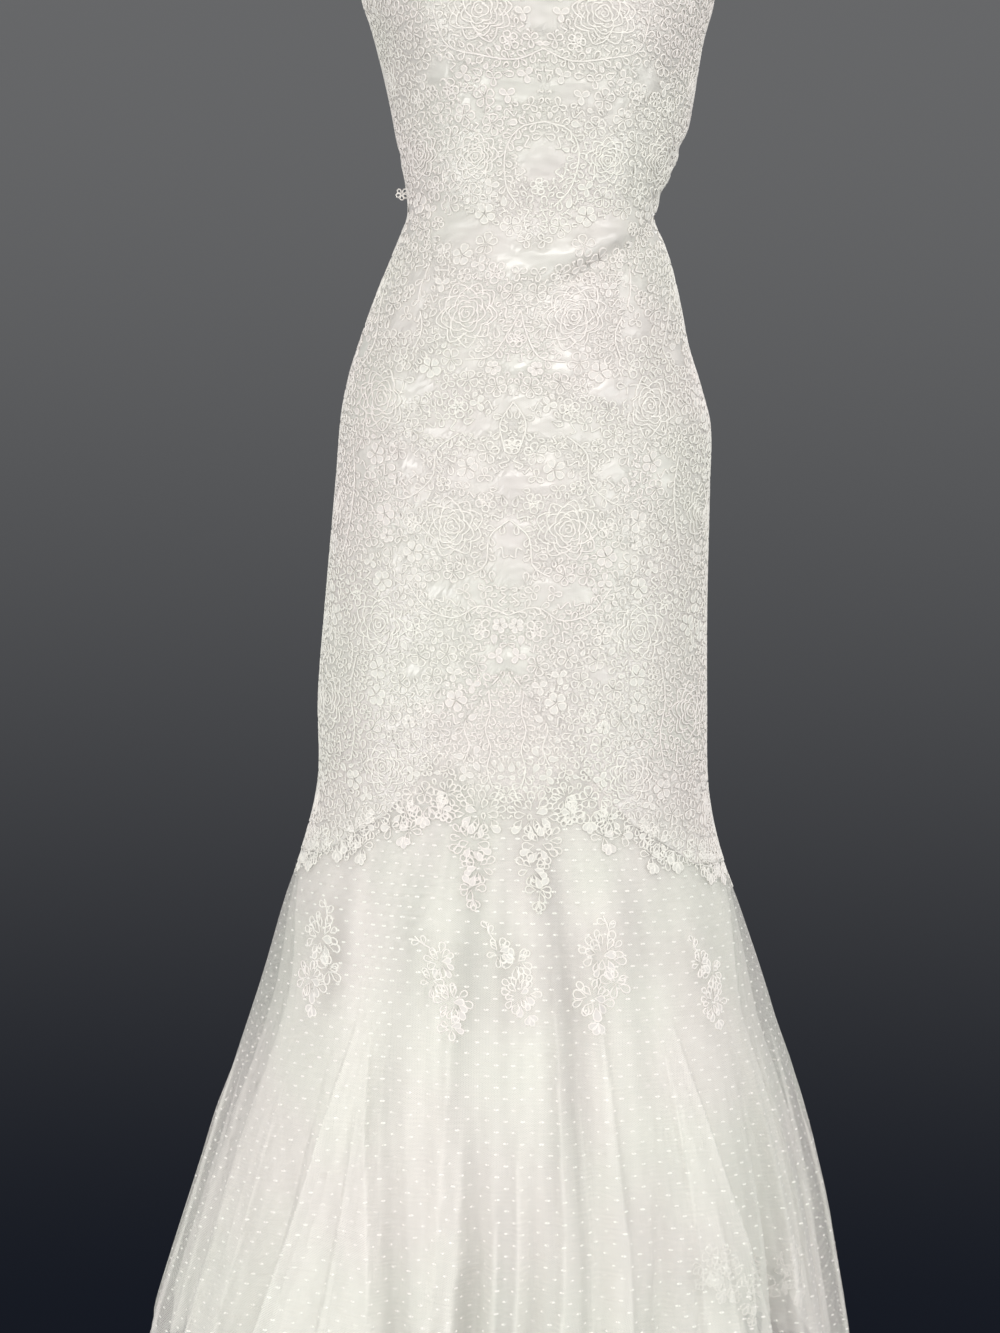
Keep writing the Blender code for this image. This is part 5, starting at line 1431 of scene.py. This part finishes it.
applique_thread = stitched("applique_thread", (0.785, 0.760, 0.726), (0.860, 0.835, 0.800), 0.55, 0.30)
applique_fill = stitched("applique_fill", (0.60, 0.582, 0.554), (0.66, 0.642, 0.614), 0.50, 0.25)
spray_thread = stitched("spray_thread", (0.82, 0.796, 0.766), (0.89, 0.866, 0.836), 0.55, 0.30)
spray_fill = stitched("spray_fill", (0.58, 0.564, 0.540), (0.64, 0.624, 0.600), 0.50, 0.25)


def add_applique(name, motifs, cloth, thread, fill, kept=lambda at: True):
    """Lace cut out and sewn on the skirt."""
    values = {"Lift": APPLIQUE_LIFT, "Cord Radius": APPLIQUE_CORD, "Thread": thread, "Fill": fill}
    return run_tree(add_drawing(name, motifs, kept), lay_lace, values | {"Cloth": cloth, "Map": "laid"})


for half, sides, (near, far, below_seam) in (
    ("front", ("left", "right"), FRONT_LACE),
    ("back", ("right", "left"), BACK_LACE),
):
    for side, motifs in zip(sides, (near, far)):
        low = [motif for motif in motifs if max(below_seam(at) for at in motif.cords[0]) > -0.02]
        name, cloth = f"lace_edge_{half}_{side}", dotted_cloths[half]
        lace = add_applique(
            name + "_cords", low, cloth, applique_thread, applique_fill, lambda at: below_seam(at) > SEAM_CUT
        )
        hand_over(lace, name)
        sewn_on[half].append(lace)

for row, drawing in zip(SPRAYS, ("curved_spray", "spray", "long_spray") * 3):
    half, middle = ("front", 0.0) if abs(row.angle) < 90 else ("back", 180.0)
    angle = row.angle if row.angle > -90 else row.angle + 360
    motif = moved(DRAWN[drawing], laid_place(angle, row.height, middle), row.turn, row.scale)
    lace = add_applique(row.name + "_cords", [motif], dotted_cloths[half], spray_thread, spray_fill)
    hand_over(lace, row.name)
    sewn_on[half].append(lace)

# Where the lining's hem is caught up, the lace sewn along it shows through the tulle
hem_motifs = [moved(DRAWN["bouquet"], laid_place(angle, height, 0.0), turn) for angle, height, turn in HEM_LACE]
hem_lace = add_applique("hem_lace_cords", hem_motifs, under_cloths["front"], spray_thread, spray_fill)
hand_over(hem_lace)

for half, carrier, hem_laces in (
    ("front", "panel_front_cloth", [hem_lace]),
    ("back", "panel_back_left_cloth", []),
):
    dotted, under, lining = dotted_cloths[half], under_cloths[half], lining_cloths[half]
    declare_cloth(dotted)()
    declare_cloth(under)()
    declare = declare_cloth(lining)
    give_wall(lining, LINING_WALL)
    declare()
    hand_over(dots[half])
    hand_over(dotted, "dotted_tulle_" + half)
    hand_over(under, "under_tulle_" + half)
    hand_over(lining, "skirt_lining_" + half)


# Loose leaf
#
# One corded leaf of the lace has come loose at the waist, on the wearer's right, and stands off the side seam.

LEAF_RADIUS, LEAF_CORD, LEAF_HEIGHT, LEAF_RISE = 0.0062, 0.0007, 0.014, math.radians(35)

leaf_start = body_points(np.array([-90.0]), np.array([LEAF_HEIGHT]))[0] - [0.0011, 0, 0]
leaf_lean = np.array([-math.cos(LEAF_RISE), 0, math.sin(LEAF_RISE)])
leaf_up = np.array([math.sin(LEAF_RISE), 0, math.cos(LEAF_RISE)])
leaf_points, leaf_edges = [], []
for line in flower(LEAF_RADIUS, 20).cords:
    line = evenly(line)[:-1]
    first = len(leaf_points)
    leaf_points += [leaf_start + leaf_lean * (at.real + LEAF_RADIUS) + leaf_up * at.imag for at in line]
    leaf_edges += [(first + k, first + (k + 1) % len(line)) for k in range(len(line))]
loose_leaf = add_piece("loose_leaf_cords", [p.tolist() for p in leaf_points], leaf_edges, [])

twist_cord, twist_in, twist_out = add_tree("twist_cord", Cord_Radius="Float", Thread="Material")
twist_tube = cord_along(twist_cord, twist_in["Geometry"], 6, twist_in["Cord Radius"])
twist_tube = given(twist_cord, smooth_and_real(twist_cord, twist_tube), twist_in["Thread"])
twist_cord.links.new(twist_tube, twist_out)
run_tree(loose_leaf, twist_cord, {"Cord Radius": LEAF_CORD, "Thread": lace_thread})
hand_over(loose_leaf, "loose_leaf")


# Zip slider and pull tab
#
# The hidden zip at the centre back is closed by a small die-cast slider with a flat pull tab, both enamelled
# ivory to match the lace, in a coat of slightly uneven tone.

zip_enamel, zip_tree, zip_shader = add_material(
    "zip_enamel", (0.80, 0.78, 0.73), 0.32, coat_weight=0.3, coat_roughness=0.15
)
zip_speck = noise(zip_tree, object_place(zip_tree), 900.0, 3.0)
zip_tint = blended(zip_tree, zip_speck, (0.74, 0.72, 0.67), (0.84, 0.82, 0.78))
feed(zip_tree, zip_shader, zip_tint, bump(zip_tree, zip_speck, 0.1, 0.0002))
for name in ("zip_slider", "zip_tab"):
    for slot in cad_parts[name].material_slots:
        slot.material = zip_enamel


# Studio
#
# A pale round floor just under the hem, soft lights from the front and above, and a dark grey-blue backdrop.

FLOOR_HEIGHT, FLOOR_RADIUS, FLOOR_FORWARD = -1.135, 0.29, 0.02

floor_rim = [
    (FLOOR_RADIUS * math.cos(a), FLOOR_RADIUS * math.sin(a) - FLOOR_FORWARD, FLOOR_HEIGHT)
    for a in np.linspace(0, 2 * math.pi, 97)[:-1]
]
floor = add_piece("floor", floor_rim, [], [tuple(range(len(floor_rim)))])
floor.data.materials.append(add_material("floor_paint", (0.72, 0.72, 0.71), 0.8)[0])

for name, place, aim, size, power, tint in (
    ("key_light", (0.3, -3.4, 2.0), (0, 0, -0.30), (2.6, 1.6), 78, (1.0, 0.985, 0.965)),
    ("right_light", (2.5, -1.7, 1.8), (0, 0, -0.10), (1.6, 0.9), 20, (1.0, 0.99, 0.975)),
    ("fill_left", (-2.2, -1.9, -0.9), (0, 0, -0.8), (1.8, 1.8), 50, (1.0, 0.995, 0.98)),
    ("fill_right", (2.2, -1.9, -0.9), (0, 0, -0.8), (1.8, 1.8), 31, (0.98, 1.0, 0.98)),
    ("top_light", (0.2, 0.6, 2.3), (0, 0, -0.4), (1.4, 1.4), 21, (1.0, 1.0, 1.0)),
    ("back_light", (0.6, 2.8, 0.8), (0, 0, -0.5), (1.8, 1.8), 30, (1.0, 1.0, 1.0)),
):
    data = bpy.data.lights.new(name, "AREA")
    data.shape = "RECTANGLE"
    data.size, data.size_y = size
    data.energy = power
    data.color = tint
    light = add_object(name, data)
    light.location = place
    light.rotation_euler = (Vector(aim) - Vector(place)).to_track_quat("-Z", "Y").to_euler()

BACKDROP_LOW, BACKDROP_HIGH, ROOM_LIGHT = (0.008, 0.010, 0.016), (0.136, 0.138, 0.142), (0.40, 0.40, 0.40)
world = bpy.data.worlds.new("studio")
world.use_nodes = True
scene.world = world
sky = world.node_tree
ray = add_node(sky, "ShaderNodeLightPath").outputs["Is Camera Ray"]
direction = add_node(sky, "ShaderNodeTexCoord").outputs["Generated"]
level = add_node(sky, "ShaderNodeSeparateXYZ", {0: direction}).outputs["Z"]
level = {"Value": level, "From Min": -0.32, "From Max": 0.16}
low_share = result(sky, "ShaderNodeMapRange", level, interpolation_type="SMOOTHSTEP")
seen = blended(sky, ray, ROOM_LIGHT, blended(sky, low_share, BACKDROP_LOW, BACKDROP_HIGH))
sky.links.new(seen, sky.nodes["Background"].inputs["Color"])
sky.nodes["Background"].inputs["Strength"].default_value = 1.0
scene.view_settings.view_transform = "Standard"

CAMERA_PLACE = Vector((-0.018, -2.8, -0.18))
CAMERA_PITCH, CAMERA_ROLL, CAMERA_LENS = math.radians(5.1), math.radians(1.62), 78.78
ahead = Vector((0, math.cos(CAMERA_PITCH), -math.sin(CAMERA_PITCH)))
right = Vector((1, 0, 0))
upright = right.cross(ahead)
tilted_right = right * math.cos(CAMERA_ROLL) + upright * math.sin(CAMERA_ROLL)
tilted_up = upright * math.cos(CAMERA_ROLL) - right * math.sin(CAMERA_ROLL)
lens = bpy.data.cameras.new("camera")
lens.lens = CAMERA_LENS
camera = add_object("camera", lens)
camera_turn = Matrix((tilted_right, tilted_up, -ahead)).transposed()
camera.matrix_world = Matrix.Translation(CAMERA_PLACE) @ camera_turn.to_4x4()
scene.camera = camera
